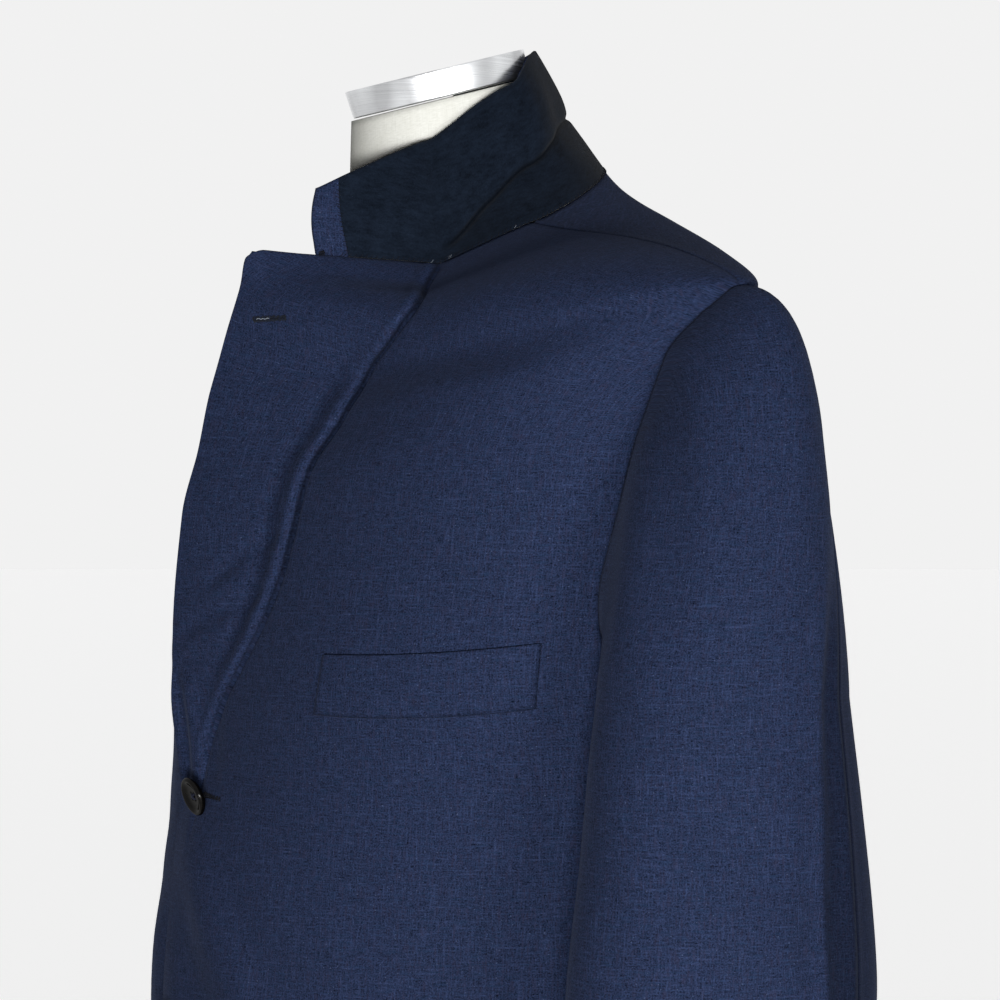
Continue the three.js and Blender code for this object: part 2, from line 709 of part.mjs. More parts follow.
// The top collar lies inside the felt, and comes out to the felt's own face past each of its ends.
function topCollarGeometry() {
  const rail = necklineRail();
  const inside = rail.filter((seat) => seat.fromEnd > STRIP + 1);
  const endSeats = (side) => [
    pointFromEnd(rail, side, 0),
    pointFromEnd(rail, side, STRIP / 2),
    pointFromEnd(rail, side, STRIP),
  ];
  const step = (side) => pointFromEnd(rail, side, STRIP + SEAM / 4);
  const left = endSeats("left");
  const right = endSeats("right").toReversed();
  const seats = [...left, step("left"), ...inside, step("right"), ...right];
  const sheet = collarSheet(seats);
  const normals = collarNormals(sheet);
  const depth = FELT + COLLAR_LAYERS;
  const outer = sheet.map((row, j) =>
    row.map((point, i) => {
      const strip = i < left.length || i >= row.length - right.length;
      return point.clone().addScaledVector(normals[j][i], strip ? 0 : -depth);
    }),
  );
  return wallGeometry(outer, moved(sheet, normals, -depth - TOP_COLLAR), false);
}

// ---------------------------------------------------------------- welt and buttons

// The breast welt lies on the left front.
function weltGeometry() {
  const sheet = spread(2).map((v) =>
    spread(WELT.columns).map((s) => {
      const angle = mix(WELT.from, WELT.to, s);
      const edges = readWelt(s);
      const level = mix(edges.low, edges.high, v);
      return coatPoint(angle, level).addScaledVector(coatNormal(angle, level), WELT.off);
    }),
  );
  return wallGeometry(moved(sheet, gridNormals(sheet), WELT.thick), sheet, false);
}

// A button hangs a little nose-down: its lower rim is nearest to the cloth.
function button(level, order) {
  const mesh = named(`button_${order + 1}`, lathe(BUTTON_PROFILE, 28), "horn");
  const angle = angleAcross(BUTTON.across, level);
  const normal = coatNormal(angle, level);
  const tilt = THREE.MathUtils.degToRad(BUTTON.tilt);
  const facing = normal.clone().applyAxisAngle(new THREE.Vector3(1, 0, 0), tilt);
  const lift = BUTTON.back * Math.sin(tilt) + BUTTON.lifts[order];
  mesh.quaternion.setFromUnitVectors(new THREE.Vector3(0, 1, 0), facing);
  mesh.position.copy(coatPoint(angle, level).addScaledVector(normal, lift));
  return mesh;
}

// ---------------------------------------------------------------- form and stand

function formGeometry() {
  const rows = spread(FORM_LAST_ROW / FORM_STEP).map((s) => readForm(s * FORM_LAST_ROW));
  const rings = rows.map((at) =>
    spread(FORM_COLUMNS).slice(0, -1).map((s) => sectionPoint(at, 360 * s)),
  );
  return ringsGeometry(rings);
}

function lathe(profile, segments) {
  return new THREE.LatheGeometry(profile.map(([r, h]) => new THREE.Vector2(r, h)), segments);
}

// Lathed pieces turn about +Y, so each is stood up on +Z.
function upright(mesh, level) {
  mesh.rotation.x = Math.PI / 2;
  mesh.position.z = level;
  return mesh;
}

function neckTop() {
  const group = new THREE.Group();
  const half = BAND.height / 2;
  const band = named(
    "form_neck_band",
    lathe(
      [[BAND.inner, -half], [BAND.lower, -half], [BAND.upper, half], [BAND.inner, half], [BAND.inner, -half]],
      48,
    ),
    "steel",
  );
  const cap = named(
    "form_neck_cap",
    lathe([[0, -half], [NECK_BLOCK[0][0], -half], ...NECK_BLOCK.map(([r, h]) => [r, half + h])], 48),
    "linen",
  );
  group.add(band, cap);
  group.rotation.x = Math.PI / 2 + THREE.MathUtils.degToRad(NECK.tilt);
  group.position.set(0, NECK.middle, NECK.level + half);
  return group;
}

function stand() {
  const { radius, height, edge } = BASE;
  const base = named(
    "stand_base",
    lathe([[0, 0], [radius, 0], [radius, height - edge], [radius - edge, height], [0, height]], 64),
    "steel",
  );
  const flange = named(
    "stand_flange",
    new THREE.CylinderGeometry(FLANGE.radius, FLANGE.radius, FLANGE.height, 40),
    "steel",
  );
  const poleFoot = BASE.height + FLANGE.height + CLEARANCE;
  const poleLength = FORM_BOTTOM - CLEARANCE - poleFoot;
  const pole = named("stand_pole", new THREE.CylinderGeometry(POLE_RADIUS, POLE_RADIUS, poleLength, 32), "steel");
  return [
    upright(base, 0),
    upright(flange, BASE.height + CLEARANCE / 2 + FLANGE.height / 2),
    upright(pole, poleFoot + CLEARANCE / 2 + poleLength / 2),
  ];
}

// ---------------------------------------------------------------- the whole

const blazer = new THREE.Group();
const sleeve = sleeveSheet();
const around = sleeve[0].length - 1;
for (const side of ["left", "right"]) {
  blazer.add(
    named(`front_${side}`, frontPanel(side), "cloth"),
    named(`side_${side}`, sidePanel(side), "cloth"),
    named(`back_${side}`, backPanel(side), "cloth"),
    named(`sleeve_top_${side}`, sleevePanel(sleeve, -FOREARM, HINDARM, side), "cloth"),
    named(`sleeve_under_${side}`, sleevePanel(sleeve, HINDARM, around - FOREARM, side), "cloth"),
  );
}
blazer.add(
  named("undercollar", undercollarGeometry(), "felt"),
  named("top_collar", topCollarGeometry(), "cloth"),
  named("breast_welt", weltGeometry(), "cloth"),
  ...BUTTON.levels.map(button),
  named("form_torso", formGeometry(), "linen"),
  neckTop(),
  ...stand(),
);

export default blazer;
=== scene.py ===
import math

import bpy
import numpy as np
from mathutils import Matrix, Vector


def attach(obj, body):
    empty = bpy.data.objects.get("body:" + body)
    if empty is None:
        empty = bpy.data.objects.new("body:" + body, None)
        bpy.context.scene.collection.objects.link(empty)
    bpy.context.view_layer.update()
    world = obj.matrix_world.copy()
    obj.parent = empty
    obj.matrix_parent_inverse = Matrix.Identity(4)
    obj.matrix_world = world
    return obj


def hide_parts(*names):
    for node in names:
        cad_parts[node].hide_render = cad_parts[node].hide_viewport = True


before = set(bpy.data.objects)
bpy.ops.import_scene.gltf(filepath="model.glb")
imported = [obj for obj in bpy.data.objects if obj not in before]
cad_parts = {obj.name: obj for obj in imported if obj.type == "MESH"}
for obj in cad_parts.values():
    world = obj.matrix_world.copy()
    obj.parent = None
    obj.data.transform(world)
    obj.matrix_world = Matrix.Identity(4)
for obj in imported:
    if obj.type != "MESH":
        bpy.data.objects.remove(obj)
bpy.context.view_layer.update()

# A blazer buttoned on a dress form. Lengths are in millimetres until a mesh is made, in the part's own
# frame: +Z up, the coat faces -Y, its left side is +X.
MM = 0.001

# ---------------- the coat's sizes
SEAM = 0.06
CLEARANCE = 0.35
HEM, UNDERARM, SHOULDER_POINT, NECKLINE = 190, 704, 878, 922
FRONT_SEAM, BACK_SEAM, SHOULDER_SEAM, CENTRE_BACK = 84, 118, 90, 180
UNDERLAP = {"depth": 2.8, "full": 8.5, "none": 18}
LAPEL_SHUT, LAPEL_OPEN = 600, 690
ROLL_RISE, ROLL_REACH = 2.5, 9
NOTCH_SHARE = 0.355
STRIP = 15.5
FELT, TOP_COLLAR, COLLAR_LAYERS = 1.5, 1.2, 0.5
COLLAR_BOW = 2
CAP = {"back": 1.94, "front": 0.45, "crown": 0, "under": 0.91, "out": 0.325, "above": 0.145}
CAP_RING, CUFF = 690, 250
HIND_LEVEL, FORE_LEVEL = 842, 712
WELT = {"from": 29.5, "to": 69.5, "thick": 1.5, "off": 0.5, "long": 110, "high": 28}
FRONT_THICK, CLOTH_THICK = 2.0, 1.3
ROUND, HALF_ROUND = 0.8, 0.7  # how far a wall's rim bulges, as a share of half its thickness
# Where each piece lies along the bolt, so that no two show the same stretch of weave.
BOLT = {"side": 400, "back": 900, "top": 1300, "under": 1600, "felt": 2000, "collar": 2600}
MIRRORED_BOLT = 1000


def table(names, rows):
    """Reads a table by its first column, with a smooth curve through each other column."""
    data = np.array(rows, float)
    keys, values = data[:, 0], data[:, 1:]
    rate = np.diff(values, axis=0) / np.diff(keys)[:, None]
    product = rate[1:] * rate[:-1]
    total = np.where(product > 0, rate[1:] + rate[:-1], 1)
    middle = np.where(product > 0, 2 * product / total, 0)
    slope = np.vstack([rate[:1], middle, rate[-1:]])

    def read(key):
        at = np.clip(np.asarray(key, float), keys[0], keys[-1])
        k = np.clip(np.searchsorted(keys, at, side="right") - 1, 0, len(keys) - 2)
        span = (keys[k + 1] - keys[k])[..., None]
        s = (at - keys[k])[..., None] / span
        out = (
            (1 + 2 * s) * (1 - s) ** 2 * values[k]
            + s * s * (3 - 2 * s) * values[k + 1]
            + s * (1 - s) ** 2 * span * slope[k]
            + s * s * (s - 1) * span * slope[k + 1]
        )
        return {name: out[..., i] for i, name in enumerate(names)}

    return read


read_coat = table(
    ["side", "front", "back", "half", "middle", "ahead", "behind", "square", "bend"],
    [
        [190, 190, 190, 190, 192, 16, 162, 113, 2.05, 2],
        [300, 300, 300, 300, 193, 16, 162, 111, 1.95, 2],
        [430, 430, 430, 430, 182, 15, 159, 96, 1.85, 2],
        [520, 520, 520, 520, 176, 15, 157, 87, 1.8, 2],
        [600, 600, 600, 600, 181, 15, 151.4, 90, 1.8, 2],
        [650, 650, 650, 650, 189, 16, 143, 96, 1.9, 2],
        [700, 700, 700, 700, 197, 19, 140, 98, 2.05, 2],
        [750, 750, 750, 750, 200, 23, 134.5, 95, 2.1, 2],
        [800, 800, 792, 800, 204, 27, 129, 84, 2.15, 2],
        [845, 845, 817, 845, 214, 36, 122, 70, 2.2, 2],
        [878, 878, 841, 886, 225, 52, 127, 52, 1.95, 1.8],
        [892, 894, 858, 907, 192, 44, 115, 57, 2.15, 1.8],
        [905, 904.5, 866, 923, 147, 34, 99, 61, 2.2, 1.6],
        [915, 910.5, 868, 938, 105, 25, 87, 62, 2.15, 1.25],
        [922, 916, 876, 950, 75, 18, 80, 66, 2.1, 1.05],
    ],
)
read_opening = table(
    ["edge", "crease"],
    [
        [190, 58, 22], [215, 38, 16], [250, 19, 10.5], [300, 2, 6.2], [370, -12, 3], [430, -18, 2],
        [640, -18, 2], [660, -18, 2.8], [680, -18, 5.6], [695, -18, 8.8], [722, -18, 14],
        [748, -18, 16.5], [788, -18, 17.3], [845, -18, 17.6], [866, -18, 18.6], [878, -18, 20.6],
        [885, -18, 24], [892, -18, 28], [905, -18, 35.8], [915, -18, 44], [922, -18, 57],
    ],
)
LAPEL_COLUMNS = ["x", "y", "z", "swell"]
read_lapel = {
    "left": table(
        LAPEL_COLUMNS,
        [
            [600, -18, -139, 600, 0], [640, -18, -135.5, 640, 0], [665, -16.5, -136.5, 665, 1],
            [690, -12, -138, 690, 2], [732, -5, -139, 732, 3], [772, 3, -138, 772, 3],
            [808, 7.5, -131.5, 804, 3], [842, 10, -127.5, 828, 3], [866, 11, -121.5, 850, 3],
            [878, 11.5, -117, 866, 3], [892, 11.8, -113.2, 878, 2], [905, 12, -110.8, 886, 2],
            [915, 12.4, -108.8, 896, 1], [922, 13.8, -106.6, 902.5, 0],
        ],
    ),
    "right": table(
        LAPEL_COLUMNS,
        [
            [600, -18, -132, 600, 0], [640, -18, -121, 640, 0], [665, -15, -118.5, 665, 0],
            [690, -9, -118, 690, 0], [732, -6, -124, 732, -1], [772, 2, -125, 771, -2],
            [808, 5, -120, 802, -2], [842, 6, -112, 824, -3], [866, 3, -103, 846, -4],
            [878, 0, -98, 862, -5], [892, -2, -95, 874, -5], [905, -3, -92, 883, -5],
            [915, -4, -89.5, 890, -5], [922, -5, -84, 896, -5],
        ],
    ),
}
read_welt = table(
    ["low", "high"],
    [
        [0, 678, 706], [0.22, 677.5, 706.3], [0.5, 678.2, 707.8], [0.78, 680.4, 710.3], [1, 683, 713],
    ],
)
read_armhole = table(
    ["front", "back"],
    [
        [704, 84, 118], [712, 81.2, 120], [724, 79.5, 121], [738, 79, 121], [755, 79.8, 120.5],
        [772, 81, 119.5], [790, 82, 118], [808, 82.8, 116], [826, 83.5, 113], [842, 83.6, 110],
        [855, 83.6, 107], [866, 84, 104],
    ],
)
CROWN_FROM = 866
read_sleeve = table(
    ["x", "y", "across", "along"],
    [
        [250, 253, 1, 37, 54], [350, 256, 10, 42, 62], [450, 258, 20, 48, 71], [553, 256, 27, 52, 75],
        [620, 253, 30, 52, 68.5], [690, 250, 31, 50, 60],
    ],
)
COLLAR_COLUMNS = ["foldX", "foldY", "foldZ", "topX", "topY", "topZ"]
COLLAR_BACK = [
    [0, 0, -16.5, 24, 0, -35.5, 55],
    [0.25, -13.5, -15.5, 27, -23, -27.5, 63],
]
read_collar = {
    "left": table(
        COLLAR_COLUMNS,
        COLLAR_BACK
        + [
            [0.37, -14.2, -7.5, 27, -26, -17.5, 65.5],
            [0.49, -14.4, 1, 27, -25.5, -5, 67],
            [0.6, -12.6, 1.7, 17, -22.5, -2, 65],
            [0.72, -3, 1.4, 6, -18, 3, 62],
            [0.87, -0.8, -1, 6, -5, -6, 44],
            [1, 0, -0.8, 5, 1.5, -0.6, 31.5],
        ],
    ),
    "right": table(
        COLLAR_COLUMNS,
        COLLAR_BACK
        + [
            [0.37, -13.8, -7.5, 26.5, -26, -17, 61],
            [0.49, -13.5, 0, 25, -25.5, -5, 59],
            [0.6, -12, 1.2, 15, -22.5, -2, 53],
            [0.72, -3.5, 1.4, 7, -18, 5, 46],
            [0.87, -1.3, 1.6, 6, -8, 5.5, 36],
            [1, -0.5, 3.5, 5.5, -3.5, 7, 33],
        ],
    ),
}
read_form = table(
    ["side", "front", "back", "half", "middle", "ahead", "behind", "square", "bend"],
    [
        [0, 235, 235, 235, 168, 15, 144, 96, 2, 2],
        [1, 300, 300, 300, 178, 16, 146, 96, 1.95, 2],
        [2, 430, 430, 430, 168, 15, 146, 82, 1.85, 2],
        [3, 520, 520, 520, 162, 15, 145, 73, 1.8, 2],
        [4, 600, 600, 600, 167, 15, 138, 76, 1.8, 2],
        [5, 650, 650, 650, 175, 16, 128, 82, 1.9, 2],
        [6, 700, 700, 700, 184, 19, 125, 85, 2.05, 2],
        [7, 750, 750, 750, 188, 23, 120, 82, 2.1, 2],
        [8, 800, 790, 800, 190, 27, 114, 71, 2.15, 2],
        [9, 840, 812, 840, 190, 35, 107, 58, 2.2, 2],
        [10, 868, 832, 870, 189, 44, 106, 46, 2.15, 2],
        [11, 888.2, 848, 898, 184, 44, 103, 45, 2.2, 1.9],
        [12, 899.6, 856, 915, 145, 34, 87, 49, 2.2, 1.6],
        [13, 906.5, 860, 930, 102, 24, 72, 51, 2.15, 1.25],
        [14, 912, 870, 938, 64, 11, 55, 48, 2.05, 1.1],
        [15, 932, 906, 948, 48.2, 2, 46.6, 46, 2, 1],
        [16, 981.9, 970.2, 993.6, 43.5, 0.5, 43.5, 43.5, 2, 1],
    ],
)


# ---------------- surfaces
def smooth(value, start, end):
    t = np.clip((np.asarray(value, float) - start) / (end - start), 0, 1)
    return t * t * (3 - 2 * t)


def crossed(rows, columns):
    return np.meshgrid(rows, columns, indexing="ij")


def mix(a, b, s):
    return a + (b - a) * s


def bell(off, width):
    """1 in the middle, falling to nothing either side."""
    return np.exp(-((off / width) ** 2))


def unit(vectors):
    return vectors / np.maximum(np.linalg.norm(vectors, axis=-1, keepdims=True), 1e-12)


def section(at, angle):
    turn = np.radians(angle)
    power = 2 / at["square"]
    sine, cosine = np.sin(turn), np.cos(turn)
    cosine = np.where(np.abs(cosine) < 1e-9, 0, cosine)
    ahead = cosine > 0
    reach = np.where(ahead, at["ahead"], at["behind"])
    end = np.where(ahead, at["front"], at["back"])
    return np.stack(
        [
            at["half"] * np.sign(sine) * np.abs(sine) ** power,
            at["middle"] - reach * np.sign(cosine) * np.abs(cosine) ** power,
            at["side"] + (end - at["side"]) * np.abs(cosine) ** at["bend"],
        ],
        axis=-1,
    )


def coat(angle, level):
    angle, level = np.broadcast_arrays(np.asarray(angle, float), np.asarray(level, float))
    return section(read_coat(level), angle)


def coat_normal(angle, level):
    angle, level = np.broadcast_arrays(np.asarray(angle, float), np.asarray(level, float))
    up = coat(angle, np.minimum(level + 1, NECKLINE)) - coat(angle, np.maximum(level - 1, HEM))
    around = coat(angle + 1, level) - coat(angle - 1, level)
    return unit(np.cross(around, up))


def angle_across(across, level):
    at = read_coat(level)
    share = np.minimum(np.abs(across) / at["half"], 1)
    return np.sign(across) * np.degrees(np.arcsin(share ** (at["square"] / 2)))


def grid_normals(grid):
    around = np.empty_like(grid)
    around[:, 1:-1] = grid[:, 2:] - grid[:, :-2]
    around[:, 0] = grid[:, 1] - grid[:, 0]
    around[:, -1] = grid[:, -1] - grid[:, -2]
    up = np.empty_like(grid)
    up[1:-1] = grid[2:] - grid[:-2]
    up[0] = grid[1] - grid[0]
    up[-1] = grid[-1] - grid[-2]
    return unit(np.cross(around, up))


def crown(level, sides):
    """The armhole's edge turns over smoothly between its last row and the shoulder point."""
    share = np.clip((level - CROWN_FROM) / (SHOULDER_POINT - CROWN_FROM), 0, 1)
    return mix(sides, SHOULDER_SEAM, 1 - np.sqrt(1 - share))


def armhole_edge(level, which, seam):
    level = np.asarray(level, float)
    hole = crown(level, read_armhole(level)[which])
    return np.where(level <= UNDERARM, seam, np.where(level < SHOULDER_POINT, hole, SHOULDER_SEAM))


def front_edge(level):
    return armhole_edge(level, "front", FRONT_SEAM)


def back_edge(level):
    return armhole_edge(level, "back", BACK_SEAM)


def flat_front(angle, level, side):
    deep = UNDERLAP["depth"] * (1 - smooth(angle, UNDERLAP["full"], UNDERLAP["none"]))
    lower = deep[..., None] if side == "right" else 0
    return coat(angle, level) - coat_normal(angle, level) * lower


def lapel_point(level, share, side):
    edge = read_lapel[side](level)
    crease = flat_front(read_opening(level)["crease"], level, side)
    tip = np.stack([edge["x"], edge["y"], edge["z"]], axis=-1)
    breadth = tip - crease
    width = np.linalg.norm(breadth, axis=-1)
    outward = unit(np.stack([-breadth[..., 1], breadth[..., 0], 0 * width], axis=-1))
    away = (1 - share) * width
    ridge = ROLL_RISE * (away / ROLL_REACH) * np.exp(1 - away / ROLL_REACH) * share
    swell = 4 * edge["swell"] * share * (1 - share)
    return crease + breadth * (1 - share)[..., None] + outward * (ridge + swell)[..., None]


CORNER = {"share": 0.075, "level": 5}  # the lapel's corner is rounded over this much


def round_corner(share, level):
    """Draws the points near the lapel's corner in, so that its edge runs round a curve."""
    x = np.clip(1 - share / CORNER["share"], 0, 1)
    y = np.clip(1 - (NECKLINE - level) / CORNER["level"], 0, 1)
    inside = (x > 0) & (y > 0)
    new_share = (1 - x * np.sqrt(1 - y * y / 2)) * CORNER["share"]
    new_level = NECKLINE - (1 - y * np.sqrt(1 - x * x / 2)) * CORNER["level"]
    return np.where(inside, new_share, share), np.where(inside, new_level, level)


def front_sheet(side, levels, lapel_shares, body_shares):
    """The outer face of a front: from the free edge to the crease, then to the side seam or armhole."""
    level, share = crossed(levels, lapel_shares)
    share, level = round_corner(share, level)
    opening = read_opening(level)
    angle = mix(angle_across(opening["edge"], level), opening["crease"], share)
    flat = flat_front(angle, level, side)
    opened = smooth(level, LAPEL_SHUT, LAPEL_OPEN)[..., None]
    lapel = mix(flat, lapel_point(level, share, side), opened)
    level, share = crossed(levels, body_shares)
    angle = mix(read_opening(level)["crease"], front_edge(level), share)
    return np.concatenate([lapel, flat_front(angle, level, side)], axis=1)


# ---------------- creases
def folds(u, v, rows):
    """Soft troughs (depth below 0) and ridges across a cloth: from, to, half-width, depth, bow."""
    out = np.zeros_like(u)
    for u0, v0, u1, v1, width, depth, bow in rows:
        du, dv = u1 - u0, v1 - v0
        length = math.hypot(du, dv)
        t = ((u - u0) * du + (v - v0) * dv) / length**2
        off = ((u - u0) * dv - (v - v0) * du) / length - bow * 4 * t * (1 - t)
        fade = smooth(t, -0.12, 0.22) * (1 - smooth(t, 0.72, 1.12))
        x = off / width
        shape = np.exp(-x * x) - 0.3 * (np.exp(-((x - 1.7) ** 2)) + np.exp(-((x + 1.7) ** 2)))
        out += depth * fade * shape
    return out


def unevenness(u, v, phase):
    """Worn cloth is never quite even: low swells a few centimetres apart."""
    a = np.sin(u / 29 + 1.7 * np.sin(v / 83 + phase)) * np.sin(v / 61 + phase)
    b = np.sin(u / 47 - v / 71 + 2 * phase) * np.sin(v / 37 + 1.3 * np.sin(u / 55 + phase))
    return 0.3 * a + 0.25 * b


# ---------------- meshes
def along_rows(grid, w=0):
    """The distance along each row from its first point, with a share w of it measured across only."""
    step = np.diff(grid, axis=1)
    length = np.linalg.norm(step, axis=2) * (1 - w) + np.abs(step[..., 0]) * w
    return np.concatenate([np.zeros((grid.shape[0], 1)), np.cumsum(length, axis=1)], axis=1)


def along_columns(grid):
    return along_rows(grid.swapaxes(0, 1)).T


def along_line(points):
    return along_rows(points[None])[0]


def at_length(where, length, values):
    """The vectors of a line at given distances along it."""
    return np.stack([np.interp(where, length, values[:, k]) for k in range(3)], axis=-1)


def seam_dip(grid, first, last, reach=1.3, depth=0.6):
    """How far the cloth is drawn in beside a sewn edge."""
    dip = np.zeros(grid.shape[:2])
    for use, edge in ((first, grid[:, :1]), (last, grid[:, -1:])):
        if use:
            dip += bell(np.linalg.norm(grid - edge, axis=2), reach)
    return -depth * dip


# Painted shade along sewn edges, darkest on the seam's line.
def seam_shade(grid, first, last):
    return -seam_dip(grid, first, last, 1.0, 0.3)


def held(grid, first=False, last=False, top=False, fade=14):
    """How free the cloth is to swell: 0 at its sewn edges, 1 a short way from them."""
    free = np.ones(grid.shape[:2])
    for use, edge in ((first, grid[:, :1]), (last, grid[:, -1:]), (top, grid[-1:])):
        if use:
            free = free * smooth(np.linalg.norm(grid - edge, axis=2), 0, fade)
    return free


def stand_back(grid, first, last):
    out = grid.copy()
    along = np.gradient(grid, axis=0)
    for use, edge, inner in ((first, 0, 1), (last, -1, -2)):
        if use:
            t = unit(along[:, edge])
            inward = grid[:, inner] - grid[:, edge]
            inward = unit(inward - t * (inward * t).sum(1, keepdims=True))
            out[:, edge] += inward * SEAM
    return out


def linked(name, data):
    item = bpy.data.objects.new(name, data)
    bpy.context.scene.collection.objects.link(item)
    return item


def make_object(name, points, faces, uvs, material, nodes):
    """A piece of the part, with its place on the cloth as its UV map where it has one."""
    mesh = bpy.data.meshes.new(name)
    mesh.from_pydata((np.asarray(points) * MM).tolist(), [], [list(face) for face in faces])
    if uvs is not None:
        layer = mesh.uv_layers.new(name="cloth")
        index = np.empty(len(mesh.loops), np.int32)
        mesh.loops.foreach_get("vertex_index", index)
        layer.data.foreach_set("uv", (np.asarray(uvs)[index] * MM).astype(np.float32).ravel())
    mesh.materials.append(material)
    mesh.polygons.foreach_set("use_smooth", np.full(len(mesh.polygons), True))
    mesh.validate()
    mesh.update()
    piece = linked(name, mesh)
    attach(piece, "root")
    if nodes:
        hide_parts(*nodes)
    return piece


def shell(outer, inner, mirrored, round_edge):
    """The points and faces of a closed wall with rounded edges, and for each point its place in the grid."""
    rows, columns = outer.shape[:2]
    number = np.arange(rows * columns).reshape(rows, columns)
    loop = np.concatenate([number[0, :-1], number[:-1, -1], number[-1, :0:-1], number[:0:-1, 0]])
    j, i = loop // columns, loop % columns
    out = np.zeros((len(loop), 3))
    for coordinate, last, step in ((i, columns - 1, (0, 1)), (j, rows - 1, (1, 0))):
        for at_edge, sign in ((coordinate == 0, 1), (coordinate == last, -1)):
            jj, ii = j[at_edge], i[at_edge]
            away = outer[jj, ii] - outer[jj + sign * step[0], ii + sign * step[1]]
            out[at_edge] += unit(away)
    thick = np.linalg.norm(outer - inner, axis=2)[j, i][:, None]
    rim = (outer[j, i] + inner[j, i]) / 2 + unit(out) * thick * round_edge / 2
    base, rim_base = rows * columns, 2 * rows * columns
    a, b = number[:-1, :-1].ravel(), number[:-1, 1:].ravel()
    c, d = number[1:, 1:].ravel(), number[1:, :-1].ravel()
    following = np.roll(np.arange(len(loop)), -1)
    here = np.arange(len(loop))
    faces = np.concatenate(
        [
            np.stack([a, b, c, d], 1),
            np.stack([a + base, d + base, c + base, b + base], 1),
            np.stack([loop[following], loop, rim_base + here, rim_base + following], 1),
            np.stack([rim_base + following, rim_base + here, loop + base, loop[following] + base], 1),
        ]
    )
    points = np.concatenate([outer.reshape(-1, 3), inner.reshape(-1, 3), rim])
    if mirrored:
        points[:, 0] *= -1
        faces = faces[:, ::-1]
    return points, faces, np.concatenate([number.ravel(), number.ravel(), loop])


def wall(
    name, node, outer, inner, u, v, painted_shade=None, material=None, mirrored=False, rim=ROUND
):
    """A closed wall of cloth between two grids, in place of one node.

    The painted shade given for each point darkens the cloth's colour: most in a pressed line, a fold or
    beside a seam, 0 in the open.
    """
    points, faces, place = shell(outer, inner, mirrored, rim)
    uvs = np.stack([u.ravel()[place], v.ravel()[place]], axis=1)
    if mirrored:
        uvs[:, 0] = MIRRORED_BOLT - uvs[:, 0]
    piece = make_object(name, points, faces, uvs, material or WOOL, [node])
    # Painted shade, kept as a point attribute that the materials darken their colour by.
    if painted_shade is not None:
        attribute = piece.data.attributes.new("painted_shade", "FLOAT", "POINT")
        attribute.data.foreach_set("value", np.asarray(painted_shade.ravel()[place], np.float32))


def panel(kind, side, grid, normals, relief, u, v, dark=0, first=True, thick=CLOTH_THICK, into_body=None):
    """A panel of the coat, a little back from the seams at its last edge and, where first says so, its first.

    A right panel is worked out on the left and mirrored. into_body turns its top edge in. dark is
    painted shade, added to the painted shade beside its seams. Its outer face is returned.
    """
    outer = stand_back(grid + normals * relief[..., None], first, True)
    painted_shade = seam_shade(grid, first, True) + dark
    if into_body is not None:
        deep = np.array(TURNED_IN)[:, None]
        outer = np.concatenate([outer, outer[-1] - into_body * deep[..., None]])
        u = np.concatenate([u, np.repeat(u[-1:], len(deep), axis=0)])
        v = np.concatenate([v, v[-1:] + deep])
        painted_shade = np.concatenate([painted_shade, np.full((len(deep), u.shape[1]), TURNED_IN_SHADE)])
    inner = outer - grid_normals(outer) * thick
    wall(f"cloth_{kind}_{side}", f"{kind}_{side}", outer, inner, u, v, painted_shade, mirrored=side == "right")
    return outer


# ---------------- materials
def srgb(*values):
    """A colour as a picture's red, green and blue from 0 to 255, made linear."""
    shares = [v / 255 for v in values]
    return tuple(v / 12.92 if v <= 0.04045 else ((v + 0.055) / 1.055) ** 2.4 for v in shares) + (1,)


class Graph:
    """Short ways to add nodes to a shader's tree."""

    def __init__(self, owner, shader="Principled BSDF"):
        owner.use_nodes = True
        self.owner, self.tree = owner, owner.node_tree
        self.shader = self.tree.nodes[shader]

    def put(self, target, value):
        if isinstance(value, bpy.types.NodeSocket):
            self.tree.links.new(value, target)
        else:
            target.default_value = value

    def node(self, kind, inputs, output=0, **settings):
        node = self.tree.nodes.new(f"ShaderNode{kind}")
        for name, value in settings.items():
            setattr(node, name, value)
        for key, value in inputs.items():
            self.put(node.inputs[key], value)
        return node.outputs[output]

    def set(self, **values):
        for name, value in values.items():
            self.put(self.shader.inputs[name.replace("_", " ")], value)
        return self.owner

    def math(self, operation, a, b, clamp=False):
        return self.node("Math", {0: a, 1: b}, operation=operation, use_clamp=clamp)

    def weighed(self, a, part_a, b, part_b):
        return self.math("ADD", self.math("MULTIPLY", a, part_a), self.math("MULTIPLY", b, part_b))

    def ramp(self, value, start, end, low=0.0, high=1.0):
        ends = {"From Min": start, "From Max": end, "To Min": low, "To Max": high}
        return self.node("MapRange", {"Value": value, **ends})

    def noise(self, vector, scale, detail, roughness):
        inputs = {"Vector": vector, "Scale": scale, "Detail": detail, "Roughness": roughness}
        return self.node("TexNoise", inputs)

    def streaks(self, vector, scale, detail=1, roughness=0.5, rotation=0.0):
        """Noise drawn out: scale is across, along and deep."""
        drawn = self.node("Mapping", {"Vector": vector, "Scale": scale, "Rotation": (0, 0, rotation)})
        return self.noise(drawn, 1, detail, roughness)

    def blend(self, factor, a, b):
        return self.node("Mix", {0: factor, 6: a, 7: b}, 2, data_type="RGBA")

    def bump(self, height, strength, distance):
        self.set(Normal=self.node("Bump", {"Strength": strength, "Distance": distance, "Height": height}))

    def uv(self):
        return self.node("UVMap", {}, uv_map="cloth")

    # The share of painted shade that a point carries, 0 to 1.
    def painted_shade(self):
        return self.ramp(self.node("Attribute", {}, "Fac", attribute_name="painted_shade"), 0, 1)

    def place(self):
        return self.node("TexCoord", {}, "Object")


def new_graph(name):
    return Graph(bpy.data.materials.new(name))


